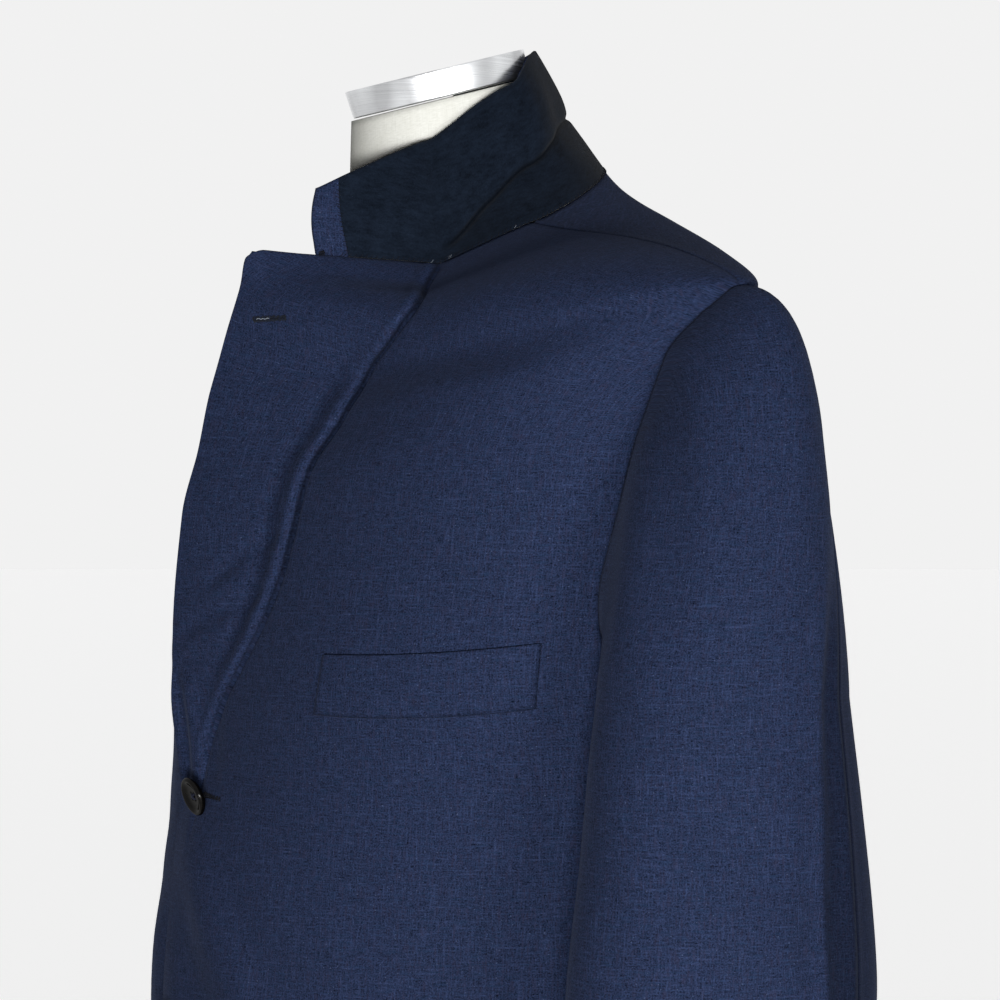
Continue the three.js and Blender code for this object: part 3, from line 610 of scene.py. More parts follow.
def wool(name, dark, light):
    """Plain-woven worsted: short uneven threads both ways, with slubs and faint changes of hue."""
    g = new_graph(name)
    uv = g.uv()
    warp, weft = (g.streaks(uv, scale, 2, 0.6) for scale in ((1150, 190, 1), (190, 1150, 1)))
    grain = g.noise(uv, 1250, 2, 0.7)
    over = g.math("MAXIMUM", *(g.ramp(yarn, 0.36, 0.74) for yarn in (warp, weft)))
    thick_and_thin = (g.streaks(uv, scale) for scale in ((52, 760, 1), (760, 48, 1)))
    slub = g.math("MAXIMUM", *(g.ramp(yarn, 0.58, 0.8) for yarn in thick_and_thin))
    threads = g.math("ADD", g.math("MULTIPLY", over, 0.55), g.ramp(grain, 0.38, 0.64, 0, 0.5))
    value = g.math("ADD", threads, g.math("MULTIPLY", slub, 0.3), clamp=True)
    colour = g.blend(value, dark, light)
    warm, cool = (g.streaks(uv, scale, 1, 0.6) for scale in ((900, 120, 1), (120, 900, 1)))
    colour = g.blend(g.ramp(warm, 0.5, 0.75, 0, 0.4), colour, srgb(50, 47, 68))
    colour = g.blend(g.ramp(cool, 0.5, 0.75, 0, 0.3), colour, srgb(28, 54, 84))
    nep = g.ramp(g.noise(uv, 1000, 0, 0.5), 0.78, 0.84)
    colour = g.blend(g.math("MULTIPLY", nep, 0.5), colour, srgb(88, 100, 132))
    # Painted shade: near black wherever a point carries painted shade, in creases, folds and beside seams.
    colour = g.blend(g.painted_shade(), colour, srgb(4, 5, 11))
    g.bump(g.weighed(grain, 0.5, over, 0.5), 0.6, 0.0003)
    g.set(Sheen_Weight=0.05, Sheen_Roughness=0.5, Sheen_Tint=(0.55, 0.65, 1, 1), Specular_IOR_Level=0.02)
    return g.set(Base_Color=colour, Roughness=g.ramp(value, 0, 1, 0.9, 0.75))


def felt():
    g = new_graph("undercollar felt")
    uv = g.uv()
    fuzz = g.noise(uv, 900, 4, 0.75)
    fibres = g.streaks(uv, (160, 420, 1), 3, 0.7, 0.7)
    cloud = g.noise(uv, 90, 3, 0.6)
    value = g.weighed(g.weighed(fuzz, 0.5, fibres, 0.5), 0.75, cloud, 0.3)
    colour = g.blend(g.ramp(value, 0.36, 0.66), srgb(9, 14, 22), srgb(27, 36, 50))
    # Painted shade along the collar's fold and on its stand.
    colour = g.blend(g.painted_shade(), colour, srgb(3, 5, 9))
    g.bump(value, 0.55, 0.0005)
    return g.set(Base_Color=colour, Roughness=0.95, Sheen_Weight=0.05, Specular_IOR_Level=0.02)


def horn():
    g = new_graph("dark horn")
    place = g.place()
    streak = g.streaks(place, (260, 260, 900), 4, 0.6)
    colour = g.blend(g.ramp(streak, 0.42, 0.8), srgb(4, 4, 4), srgb(20, 16, 13))
    g.bump(g.noise(place, 1600, 2, 0.5), 0.08, 0.0001)
    g.set(Coat_Weight=0.2, Coat_Roughness=0.12, Specular_IOR_Level=0.0)
    return g.set(Base_Color=colour, Roughness=g.ramp(streak, 0, 1, 0.16, 0.3))


def linen():
    g = new_graph("form linen")
    uv = g.uv()
    warp, weft = (g.streaks(uv, scale, 2, 0.6) for scale in ((1500, 110, 1), (110, 1500, 1)))
    value = g.weighed(warp, 0.5, weft, 0.5)
    colour = g.blend(g.ramp(value, 0.35, 0.65), srgb(228, 228, 219), srgb(248, 248, 241))
    cloud = g.noise(uv, 18, 3, 0.6)
    colour = g.blend(g.ramp(cloud, 0.45, 0.8, 0, 0.25), colour, srgb(205, 203, 188))
    g.bump(value, 0.3, 0.0002)
    return g.set(Base_Color=colour, Roughness=0.85, Specular_IOR_Level=0.25)


def steel(name, brushed, tone=(188, 191, 194), painted_reflection=0.0):
    """Steel brushed along the lines that brushed, the scale of its scratches, draws out."""
    g = new_graph(name)
    place = g.place()
    brush = g.streaks(place, brushed, 3, 0.65)
    cloud = g.noise(place, 35, 2, 0.5)
    light = srgb(*tone)
    dark = tuple(v * 0.72 for v in light[:3]) + (1,)
    colour = g.blend(g.ramp(brush, 0.3, 0.7), dark, light)
    # Broad grey patches, as strong as the last argument says: painted reflections of the surroundings.
    soft = g.streaks(place, (45, 45, 4))
    colour = g.blend(g.ramp(soft, 0.38, 0.55, painted_reflection, 0), colour, (0.3, 0.3, 0.31, 1))
    g.bump(brush, 0.12, 0.0001)
    rough = g.math("ADD", g.ramp(brush, 0.3, 0.7, 0.2, 0.34), g.math("MULTIPLY", cloud, 0.08))
    return g.set(Base_Color=colour, Roughness=rough, Metallic=1.0)


def thread(name, colour):
    g = new_graph(name)
    twist = g.streaks(g.place(), (2200, 2200, 2200), 2)
    shade = tuple(v * 0.6 for v in colour[:3]) + (1,)
    g.bump(twist, 0.3, 0.0001)
    return g.set(Base_Color=g.blend(twist, shade, colour), Roughness=0.7, Specular_IOR_Level=0.15)


WOOL = wool("worsted wool", srgb(3, 5, 13), srgb(52, 64, 98))
FELT_MATERIAL = felt()
HORN = horn()
LINEN = linen()
STEEL = steel("brushed steel", (1900, 1900, 14))
BAND_STEEL = steel("neck band steel", (20, 20, 2600), (246, 248, 250), 0.55)
PALE_THREAD = thread("pale felling thread", srgb(150, 158, 172))
LAPEL_THREAD = thread("grey buttonhole silk", srgb(24, 28, 36))
DARK_THREAD = thread("dark silk thread", srgb(11, 13, 22))
BUTTON_THREAD = thread("button thread", srgb(30, 34, 52))


# ---------------- the body of the coat
def crowded(count, power=1.0, near=(0.004, 0.009, 0.016), ends=(True, True)):
    """Shares from 0 to 1, with a few more beside the sewn ends."""
    shares = list(np.linspace(0, 1, count + 1) ** power)
    if ends[0]:
        shares += list(near)
    if ends[1]:
        shares += [1 - s for s in near]
    return np.unique(np.round(shares, 6))


OVER_CROWN = np.linspace(CROWN_FROM, SHOULDER_POINT, 13)[1:]
BODY_LEVELS = np.concatenate([np.linspace(HEM, CROWN_FROM, 176), OVER_CROWN])
LEVELS = np.concatenate([BODY_LEVELS, np.linspace(SHOULDER_POINT, NECKLINE, 48)[1:]])
BEFORE_CREASE = [0.91, 0.925, 0.955, 0.965, 0.975, 0.982, 0.988, 0.994]
LAPEL_SHARES = np.unique(np.append(crowded(34, 1.0, (0.008, 0.02), (True, False)), BEFORE_CREASE))
PAST_CREASE = [0.003, 0.007, 0.012, 0.018, 0.026, 0.036, 0.05]
BODY_SHARES = np.unique(np.append(crowded(62, 1.15, ends=(False, True)), PAST_CREASE))[1:]
BACK_SHARES = crowded(62)


OVER_FROM = {"front": -100, "back": 80, "arm": 265}  # where the cloth begins to lie over the shoulder


def over_shoulder(z):
    """How much of the way back counts as height on the cloth, near the shoulder."""
    return 0.75 * smooth(z, 790, 900)


# The pressed line that the lapel turned on, and beside it a soft ridge and a trough: how high or
# deep, how far towards the lapel, how broad, and the power of its slope.
CREASE = {"line": (-1.8, -0.2, 1.5, 1.4), "ridge": (1.4, 5, 3.2, 2), "trough": (-2.4, 13.5, 5.5, 2)}
# Each fold: from (along the cloth, height) to the same, half-width, height of the ridge (a trough is
# below 0), and how far its middle bows aside.
FRONT_FOLDS = {
    "left": [
        [62, 766, 12, 738, 4.5, -1.7, 3],
        [52, 744, 8, 728, 5, 0.9, 2],
        [50, 734, -8, 712, 4.5, -1.6, 3],
        [36, 717, -10, 703, 4.5, 0.9, 2],
        [32, 707, -14, 698, 4, -1.4, 2],
        [-12, 696, -10, 634, 4, -1.6, 0],
        [-2, 690, -1, 646, 4, 1.1, 0],
        [14, 690, 20, 640, 7, -0.9, 2],
        [4, 612, 118, 486, 15, 2.4, 6],
        [0, 585, 70, 470, 16, -1.7, 5],
        [40, 625, 170, 560, 16, -1.1, -6],
        [100, 905, 190, 860, 22, -1.6, 6],
        [225, 740, 232, 560, 12, -1.6, 4],
    ],
    "right": [
        [64, 770, 16, 744, 5, -1.5, 3],
        [50, 736, 2, 716, 5, -1.4, 3],
        [30, 704, -8, 694, 4, -1.2, 2],
        [6, 606, 104, 470, 17, 2.2, -5],
        [4, 572, 64, 450, 16, -1.8, -4],
        [36, 632, 160, 590, 15, -1.0, 6],
        [104, 900, 186, 856, 22, -1.5, 5],
        [222, 730, 236, 540, 12, -1.7, -4],
    ],
}


ACROSS_ONLY = smooth(LEVELS, 800, 870)[:, None]  # towards the shoulder the weave is followed across only


def front_cloth(side):
    """The fine grid of a front, its place on the cloth, and how far before the crease it lies."""
    grid = front_sheet(side, LEVELS, LAPEL_SHARES, BODY_SHARES)
    fold = len(LAPEL_SHARES) - 1
    crease = read_opening(LEVELS)["crease"]
    before = flat_front(mix(0, crease[:, None], np.linspace(0, 1, 30)[None]), LEVELS[:, None], side)
    start = along_rows(before, ACROSS_ONLY)[:, -1:]
    run = along_rows(grid[:, fold:], ACROSS_ONLY) + start
    back_to_edge = along_rows(grid[:, fold::-1])[:, ::-1]
    u = np.concatenate([start - back_to_edge[:, :-1], run], axis=1)
    v = grid[..., 2] + over_shoulder(grid[..., 2]) * (grid[..., 1] - OVER_FROM["front"])
    return grid, u, v, start - u


def open_trough(level):
    """Where along the lapel's line the trough beside the crease sets in; it weighs the trough's depth and its
    painted shade.
    """
    return smooth(level, 660, 730) * (1 - smooth(level, 850, 890))


def crease_relief(before, level):
    """The sharp valley along the line that the lapel turned on, with the ridge and trough beside it."""
    line, ridge, trough = (
        height * np.exp(-np.abs((before - ahead) / broad) ** power)
        for height, ahead, broad, power in CREASE.values()
    )
    return smooth(level, LAPEL_SHUT, LAPEL_OPEN) * (line + ridge) + open_trough(level) * trough


def crease_shade(before, level):
    """The painted shade in the pressed line and in the trough beside it; both fade towards the first button.
    """
    depth = smooth(level, 640, LAPEL_OPEN) * mix(0.25, 0.72, smooth(level, LAPEL_OPEN, 760))
    line = bell(before - 0.8, 1.25) * depth
    return line + 0.4 * open_trough(level) * bell(before - CREASE["trough"][1], 4.5)


def front_relief(u, v, side):
    phase = 0.4 if side == "left" else 2.1
    return folds(u, v, FRONT_FOLDS[side]) + unevenness(u, v, phase)


FRONT_FACE = {}  # the outer face of the left front, its normals and its place on the cloth


def make_front(side):
    grid, u, v, before = front_cloth(side)
    level = LEVELS[:, None]
    relief = front_relief(u, v, side) * held(grid, last=True, top=True)
    relief = relief + crease_relief(before, level) * held(grid, top=True, fade=2.5)
    relief = relief + seam_dip(grid, False, True)
    dark = crease_shade(before, level)
    outer = panel("front", side, grid, grid_normals(grid), relief, u, v, dark, False, FRONT_THICK)
    if side == "left":
        FRONT_FACE.update(points=outer, normals=grid_normals(outer), u=u, v=v)


def make_side(side):
    level, share = crossed(BODY_LEVELS[BODY_LEVELS <= UNDERARM], crowded(26))
    tall, reached = UNDERARM - HEM, level.max() - HEM
    level = level * tall / reached + HEM * (1 - tall / reached)
    angle = mix(FRONT_SEAM, BACK_SEAM, share)
    grid = coat(angle, level)
    u, v = along_rows(grid) + BOLT["side"], grid[..., 2]
    relief = seam_dip(grid, True, True) + unevenness(u, v, 1.1) * held(grid, True, True)
    panel("side", side, grid, coat_normal(angle, level), relief, u, v)


BACK_FOLDS = [
    [-150, 850, -60, 905, 16, -1.6, 5],
    [-210, 740, -120, 700, 13, -1.8, 6],
    [-190, 610, -20, 560, 17, -1.5, -8],
    [-200, 560, -60, 500, 18, 1.4, -6],
    [-30, 890, -22, 640, 14, -1.0, 4],
    [-120, 470, -150, 240, 22, 1.6, 8],
]


def make_back(side):
    level, share = crossed(LEVELS, BACK_SHARES)
    angle = mix(back_edge(level), CENTRE_BACK, share)
    grid = coat(angle, level)
    run = along_rows(grid, ACROSS_ONLY)
    u = run - run[:, -1:] + BOLT["back"]
    v = grid[..., 2] - over_shoulder(grid[..., 2]) * (grid[..., 1] - OVER_FROM["back"])
    relief = folds(u - BOLT["back"], v, BACK_FOLDS) + unevenness(u, v, 3.0)
    relief = relief * held(grid, True, True, True) + seam_dip(grid, True, True)
    panel("back", side, grid, coat_normal(angle, level), relief, u, v)


# ---------------- sleeves
CROWN_STEPS, HIND_STEPS, FORE_STEPS = 8, 8, 3


def armhole_loop():
    """The armhole's edge from the crown down its back, under the arm and up its front.

    Also its normals, and where on it are the sleeve's hind and fore seams and the two ends of the
    stretch under the arm.
    """
    over = SHOULDER_POINT - (SHOULDER_POINT - CROWN_FROM) * np.linspace(0, 1, CROWN_STEPS + 1) ** 2
    to_hind = np.linspace(CROWN_FROM, HIND_LEVEL, HIND_STEPS + 1)[1:]
    falling = np.concatenate([over, to_hind, np.linspace(HIND_LEVEL, UNDERARM, 40)[1:]])
    to_fore = np.linspace(UNDERARM, FORE_LEVEL, FORE_STEPS + 1)
    rising = np.concatenate([to_fore, np.linspace(FORE_LEVEL, CROWN_FROM, 44)[1:], over[::-1][1:]])
    under = np.linspace(BACK_SEAM, FRONT_SEAM, 16)[1:-1]
    angle = np.concatenate([back_edge(falling), under, front_edge(rising)])
    level = np.concatenate([falling, np.full(len(under), UNDERARM), rising])
    angle[0] = angle[-1] = SHOULDER_SEAM
    low_back, low_front = len(falling) - 1, len(falling) + len(under)
    hind, fore = CROWN_STEPS + HIND_STEPS, low_front + FORE_STEPS
    return coat(angle, level), coat_normal(angle, level), hind, fore, low_back, low_front


def ring_point(level, share):
    at = read_sleeve(level)
    turn = np.pi * share
    x, y = at["x"] + at["across"] * np.cos(turn), at["y"] + at["along"] * np.sin(turn)
    return np.stack([x, y, level + 0 * turn], -1)


def sleeve_sheet():
    """The sleeve's outer face from the cuff up to the armhole, and what armhole_loop says of its top."""
    points, normals, hind, fore, low_back, low_front = armhole_loop()
    length = along_line(points)
    lowest = (length[low_back] + length[low_front]) / 2
    total = length[-1]
    shares = np.where(length <= lowest, length / lowest, 2 - (total - length) / (total - lowest))
    before = points[np.maximum(np.arange(len(points)) - 1, 0)]
    after = points[np.minimum(np.arange(len(points)) + 1, len(points) - 1)]
    into = unit(np.cross(after - before, normals))
    base = points + normals * CLEARANCE + into * CLEARANCE
    away = points - points.mean(axis=0)
    away[:, 0] = 0
    away = unit(away)
    sideways = np.where(away[:, 1] > 0, CAP["back"], CAP["front"]) * away[:, 1]
    upwards = np.where(away[:, 2] > 0, CAP["crown"], CAP["under"]) * away[:, 2]
    leave = unit(np.stack([np.ones(len(points)), sideways, upwards], axis=1))
    ring = ring_point(np.full(len(points), float(CAP_RING)), shares)
    drop = np.linalg.norm(base - ring, axis=1)[:, None]
    out = base + leave * CAP["out"] * drop
    above = ring + np.array([0, 0, 1.0]) * CAP["above"] * drop
    s = crowded(44, 1.0, (0.006, 0.013), (True, False))[:, None, None]
    cap = (1 - s) ** 3 * base + 3 * s * (1 - s) ** 2 * out + 3 * s * s * (1 - s) * above + s**3 * ring
    levels = np.linspace(CAP_RING, CUFF, 124)[1:]
    lower = ring_point(levels[:, None], shares[None])
    return np.concatenate([cap, lower])[::-1], hind, fore, normals


# The second value is the painted shade on the rows turned in under the armhole's edge.
TURNED_IN, TURNED_IN_SHADE = (0.5, 1.3, 2.6, 4.5), 0.6  # how the sleeve's edge goes in under the armhole's
SLEEVE_FOLDS = {
    "top": [
        [-70, 860, -52, 700, 15, -1.2, 5],
        [30, 830, 10, 640, 17, 1.2, -6],
        [-95, 700, 20, 610, 16, -1.6, 8],
        [-90, 655, 25, 560, 16, 1.2, 8],
        [60, 640, -60, 520, 17, -1.4, -8],
        [-100, 520, 20, 420, 20, -1.5, 9],
        [50, 470, -70, 360, 20, 1.3, -8],
        [20, 700, 26, 380, 10, -1.3, 3],
    ],
    "under": [
        [-50, 640, 60, 560, 14, -1.5, 6],
        [-60, 560, 50, 470, 15, 1.3, 6],
        [-40, 470, 60, 360, 18, -1.4, -7],
    ],
}


def sleeve_relief(part, u, v, lengths, free_behind):
    """The step beside the hind seam, below the sleeve's cap, and the painted shade that lies on it and on the
    under sleeve beside it.
    """
    low = 1 - smooth(v, 690, 780)
    if part == "under":
        return -2.0 * smooth(lengths, 0, 7) * low, low * 0.5 * (1 - smooth(lengths, 40, 75))
    behind = u - BOLT["top"] - mix(27, 23, smooth(v, 520, 700))
    ridge = bell(behind + 3, 3.5) - 2.4 * smooth(behind, -1, 6)
    line = 0.4 * bell(behind, 1.1) * (1 - smooth(v, 650, 700))
    return low * free_behind * ridge, low * (line + 0.5 * smooth(behind, -0.5, 2.0))


def make_sleeves():
    sheet, hind, fore, into_body = sleeve_sheet()
    around = sheet.shape[1] - 1
    ring = sheet[:, :around]
    normals = unit(np.cross(np.roll(ring, -1, axis=1) - np.roll(ring, 1, axis=1), np.gradient(ring, axis=0)))
    spans = {"top": np.arange(fore - around, hind + 1) % around, "under": np.arange(hind, fore + 1) % around}
    for part, columns in spans.items():
        grid, facing = ring[:, columns], normals[:, columns]
        lengths = along_rows(grid)
        middle = lengths[:, columns == 0] if part == "top" else lengths[:, -1:] / 2
        u = lengths - middle + BOLT[part]
        v = grid[..., 2] - 0.8 * smooth(grid[..., 2], 830, 885) * (grid[..., 0] - OVER_FROM["arm"])
        added, dark = sleeve_relief(part, u, v, lengths, held(grid, last=True, fade=10))
        wavy = folds(u - BOLT[part], v, SLEEVE_FOLDS[part])
        for side, phase in (("left", 0.9), ("right", 2.6)):
            relief = (wavy + unevenness(u, v, phase)) * held(grid, True, True, True)
            relief = relief + seam_dip(grid, True, True) + added
            panel(f"sleeve_{part}", side, grid, facing, relief, u, v, dark, into_body=into_body[columns])


# ---------------- collar
def half_rail(side):
    """Half of the line that the collar is sewn to, from the notch to the centre back.

    Its points, their distance from the notch, their normals, and the way down the coat.
    """
    lapel = np.linspace(NOTCH_SHARE, 1, 24)[:-1]
    body = np.linspace(0, 1, 60)
    lower = NECKLINE - 1.0
    sheet = front_sheet(side, np.array([lower, NECKLINE]), np.append(lapel, 1.0), body)
    gorge = slice(0, len(lapel))
    angle = mix(read_opening(NECKLINE)["crease"], SHOULDER_SEAM, body)
    behind = np.linspace(SHOULDER_SEAM, CENTRE_BACK, 70)[1:]
    points = np.concatenate([sheet[1, gorge], sheet[1, len(lapel) + 1 :], coat(behind, NECKLINE)])
    facing = grid_normals(sheet)[1, gorge], coat_normal(angle, NECKLINE), coat_normal(behind, NECKLINE)
    normals = np.concatenate(facing)
    below = np.concatenate([sheet[0, gorge], coat(angle, lower), coat(behind, lower)])
    lifted = points + normals * CLEARANCE + np.array([0, 0, CLEARANCE])
    return lifted, along_line(points), normals, unit(below - points)


def vectors(shape, name):
    return np.stack([shape[name + axis] for axis in "XYZ"], axis=1)


FLAT = np.array([1, 1, 0])
FOLD_BLEND = 0.03  # the share of a step over which the collar turns at its fold
NEAR_FOLD = [0.9, 0.93, 0.96, 0.98, 0.99, 1.01, 1.02, 1.04, 1.07, 1.1]
# 0 at the seam, 1 at the fold, 2 on top
COLLAR_STEPS = np.unique(np.append(np.linspace(0, 2, 41), NEAR_FOLD))


def collar_grid(left_distances, right_distances):
    """The collar's outer face above the seam, and the distance of each column from the collar's end."""
    columns, ends = [], []
    for side, distances, sign in (("left", left_distances, 1), ("right", right_distances, -1)):
        points, length = half_rail(side)[:2]
        total = length[-1]
        at = np.minimum(distances, total)
        seat = at_length(at, length, points)
        shape = read_collar[side](1 - at / total)
        fold, top = vectors(shape, "fold"), vectors(shape, "top")
        for line in (seat, fold, top):
            line[:, 0] *= sign
        after = np.log1p(np.exp((COLLAR_STEPS - 1) / FOLD_BLEND)) * FOLD_BLEND
        after = (after - after[0]) / (after[-1] - after[0])
        before = COLLAR_STEPS - after
        outward = unit(seat * FLAT)
        grid = (
            seat[None]
            + fold[None] * before[:, None, None]
            + (top - fold)[None] * after[:, None, None]
            + outward[None] * (COLLAR_BOW * 4 * after * (1 - after))[:, None, None]
        )
        columns.append(grid if side == "left" else grid[:, ::-1][:, 1:])
        ends.append(at if side == "left" else at[::-1][1:])
    return np.concatenate(columns, axis=1), np.concatenate(ends)


def collar_normals(grid):
    """Normals that are level at the seam, so that the wall's thickness is too."""
    normals = grid_normals(grid)
    normals[..., 2] *= smooth(np.arange(len(grid)), 0, 4)[:, None]
    return unit(normals)


def make_collar():
    total = {side: half_rail(side)[1][-1] for side in ("left", "right")}

    def collar(start, bolt, extra=()):
        """The collar from a distance off each end, its normals, its place on the cloth and its distances."""
        near = start + np.array([0.0, 0.7, 1.6])
        far = (np.linspace(start + 3, length, 84) for length in total.values())
        grid, ends = collar_grid(*(np.unique(np.concatenate([extra, near, f])) for f in far))
        return grid, collar_normals(grid), along_rows(grid) + bolt, along_columns(grid), ends

    grid, normals, u, v, ends = collar(STRIP + 0.25, BOLT["felt"])
    wave = 0.35 * np.sin(u / 17) * np.sin(v / 14 + 1) + 0.25 * np.sin(u / 9 + 2 * np.sin(v / 11))
    at_fold = v - v[COLLAR_STEPS == 1.0]
    turned_over = smooth(ends / total["left"], 0.25, 0.31)[None]
    groove = -1.5 * np.exp(-np.abs(at_fold / 1.5) ** 1.5) * turned_over
    outer = grid + normals * (wave * smooth(v, 2, 12) + groove)[..., None]
    inner = outer - collar_normals(outer) * FELT
    # Painted shade along the collar's fold line and, fainter, on the stand below it.
    painted_shade = (0.7 * bell(at_fold, 1.2) + 0.13 * (1 - smooth(at_fold, -3, 0))) * turned_over
    wall("felt_undercollar", "undercollar", outer, inner, u, v, painted_shade, material=FELT_MATERIAL)

    strip = np.array([0, 0.8, 2, 4, 6.5, 9, 11.5, 13.5, STRIP])
    grid, normals, u, v, ends = collar(STRIP + 0.06, BOLT["collar"], strip)
    on_strip = ends <= STRIP + 1e-6
    outer = grid - normals * np.where(on_strip, 0, FELT + COLLAR_LAYERS)[None, :, None]
    inner = grid - normals * (FELT + COLLAR_LAYERS + TOP_COLLAR)
    wall("cloth_top_collar", "top_collar", outer, inner, u, v, rim=HALF_ROUND)
    columns, middle = np.where(on_strip)[0], grid.shape[1] // 2
    make_strip_stitches(grid, normals, columns[columns < middle][-1], "strip_felling_left", 41)
    make_strip_stitches(grid, normals, columns[columns > middle][0], "strip_felling_right", 42)


# ---------------- small pieces
def make_welt():
    shares = crowded(10, 1.0, (0.03, 0.07)), crowded(60, 1.0, (0.006, 0.012))
    level_share, share = crossed(*shares)
    edges = read_welt(share)
    angle = mix(WELT["from"], WELT["to"], share)
    level = mix(edges["low"], edges["high"], level_share)
    base = coat(angle, level)
    normals = coat_normal(angle, level)
    start = along_rows(coat(mix(0, WELT["from"], np.linspace(0, 1, 30))[None], level[:, :1]))[:, -1:]
    u = along_rows(base) + start
    v = base[..., 2]
    relief = front_relief(u, v, "left")
    from_ends = np.minimum(share, 1 - share) * WELT["long"]
    edge = np.minimum(from_ends, level_share * WELT["high"])
    sewn = -0.8 * bell(edge, 1.3)
    stitched = -0.35 * bell(edge - 5.2, 0.8) * (from_ends < 12)
    inner = base + normals * (WELT["off"] + relief)[..., None]
    outer = base + normals * (WELT["off"] + WELT["thick"] + relief + sewn + stitched)[..., None]
    # Painted shade along the welt's edges.
    dark = 0.42 * bell(edge, 1.1)
    wall("cloth_breast_welt", "breast_welt", outer, inner, u + 40, v + 17, dark, rim=HALF_ROUND)


def lathe_points(profile, segments):
    turn = np.linspace(0, 2 * np.pi, segments, endpoint=False)
    r, h = np.array(profile, float).T[:, :, None]
    return np.stack([r * np.cos(turn), r * np.sin(turn), h + 0 * turn], axis=-1)


def ring_faces(rows, segments, closed=False):
    """Faces between rings of points; the last ring also joins the first one where closed."""
    number = np.arange(rows * segments).reshape(rows, segments)
    if closed:
        number = np.concatenate([number, number[:1]])
    following = np.roll(number, -1, axis=1)
    corners = number[:-1], following[:-1], following[1:], number[1:]
    return np.stack([corner.ravel() for corner in corners], 1)


def placed(points, place):
    matrix = np.array(place)
    return (points.reshape(-1, 3) @ matrix[:3, :3].T + matrix[:3, 3]).reshape(points.shape)


def ring_caps(rows, segments, low, high):
    """Triangles from the first and last ring to a point each."""
    number = np.arange(segments)
    after, last = np.roll(number, -1), (rows - 1) * segments
    ends = [np.full(segments, low), after, number], [last + number, last + after, np.full(segments, high)]
    return [face for end in ends for face in np.stack(end, 1).tolist()]


def ringed(name, grid, nodes, material, closed=False):
    """A piece made of rings of points; where it is not closed, its first and last ring shrink to a point."""
    rows, segments = grid.shape[:2]
    around = np.linalg.norm(np.roll(grid, -1, axis=1) - grid, axis=2).sum(axis=1).max()
    u = np.tile(np.linspace(0, around, segments, endpoint=False), rows)
    along = np.linalg.norm(np.diff(grid, axis=0), axis=2).mean(axis=1)
    v = np.repeat(np.concatenate([[0], np.cumsum(along)]), segments)
    faces = ring_faces(rows, segments, closed).tolist()
    points = grid.reshape(-1, 3)
    if not closed:
        faces += ring_caps(rows, segments, len(points), len(points) + 1)
        points = np.concatenate([points, grid[[0, -1]].mean(axis=1)])
        u, v = np.append(u, [0, 0]), np.append(v, [v[0], v[-1]])
    return make_object(name, points, faces, np.stack([u, v], 1), material, nodes)


def turned(name, profile, segments, place, nodes, material, closed=False):
    """A turned piece: radius and height pairs from its underside round to its top."""
    ringed(name, placed(lathe_points(profile, segments), place), nodes, material, closed)


def rounded(corners, radius, count):
    """The same profile with its inner corners rounded."""
    out = [corners[0]]
    for before, corner, after in zip(corners, corners[1:], corners[2:]):
        b, c, a = (np.array(p, float) for p in (before, corner, after))
        reach = min(radius, 0.45 * np.linalg.norm(b - c), 0.45 * np.linalg.norm(a - c))
        start, end = c + unit(b - c) * reach, c + unit(a - c) * reach
        for t in np.linspace(0, 1, count):
            out.append(list((1 - t) ** 2 * start + 2 * t * (1 - t) * c + t * t * end))
    return out + [corners[-1]]


THREAD_SIDES = 6


def tube(points, radius):
    """The rings of a closed thin tube along a line of points."""
    points = np.asarray(points, float)
    along = unit(np.gradient(points, axis=0))
    across = unit(np.cross(along, np.array([0.31, 0.17, 0.93])))
    upright = np.cross(along, across)
    turn = np.linspace(0, 2 * np.pi, THREAD_SIDES, endpoint=False)
    size = np.full(len(points), float(radius))
    size[0] = size[-1] = radius * 0.45
    ring = across[:, None] * np.cos(turn)[None, :, None] + upright[:, None] * np.sin(turn)[None, :, None]
    return points[:, None] + ring * size[:, None, None]


def threads(name, lines, radius, material, slot="cloth"):
    """Many short threads as one piece, each a closed tube."""
    points, faces = [], []
    for line in lines:
        grid = tube(line, radius)
        rows, sides = grid.shape[:2]
        inside = rows * sides
        face = ring_faces(rows, sides).tolist() + ring_caps(rows, sides, inside, inside + 1)
        faces += [[number + len(points) for number in corners] for corners in face]
        points += [*grid.reshape(-1, 3), *grid[[0, -1]].mean(axis=1)]
    make_object(name, points, faces, None, material, [])


# ---------------- buttons and stitches
BUTTON = {"back": 7.6, "across": 12, "levels": (635, 525, 415), "tilt": 31, "lifts": (0.35, -0.2, 0.1)}
BUTTON_HOLES = {"out": 2.1, "radius": 0.85, "deep": 1.5}
BUTTON_BACK = [[0.2, 0], [7.6, 0], [10, 2.3]]
BUTTON_FRONT = [[9.5, 3.7], [8.5, 4.2], [7.4, 3.8], [6.0, 2.9], [4.8, 2.6], [3.6, 2.5]]
BUTTON_FACE = rounded(BUTTON_BACK + BUTTON_FRONT, 0.9, 4)
SHANK = [[0.2, -2.0], [1.9, -1.8], [1.5, -1.2], [1.65, -0.6], [1.5, 0.1], [0.2, 0.2]]


def button_place(level, order):
    angle = angle_across(np.array(float(BUTTON["across"])), level)
    point, normal = coat(angle, level), coat_normal(angle, level)
    tilt = math.radians(BUTTON["tilt"])
    facing = Vector(normal)
    facing.rotate(Matrix.Rotation(tilt, 3, "X"))
    lift = BUTTON["back"] * math.sin(tilt) + BUTTON["lifts"][order]
    turn = Vector((0, 0, 1)).rotation_difference(facing).to_matrix().to_4x4()
    return Matrix.Translation(Vector(point) + Vector(normal) * lift) @ turn


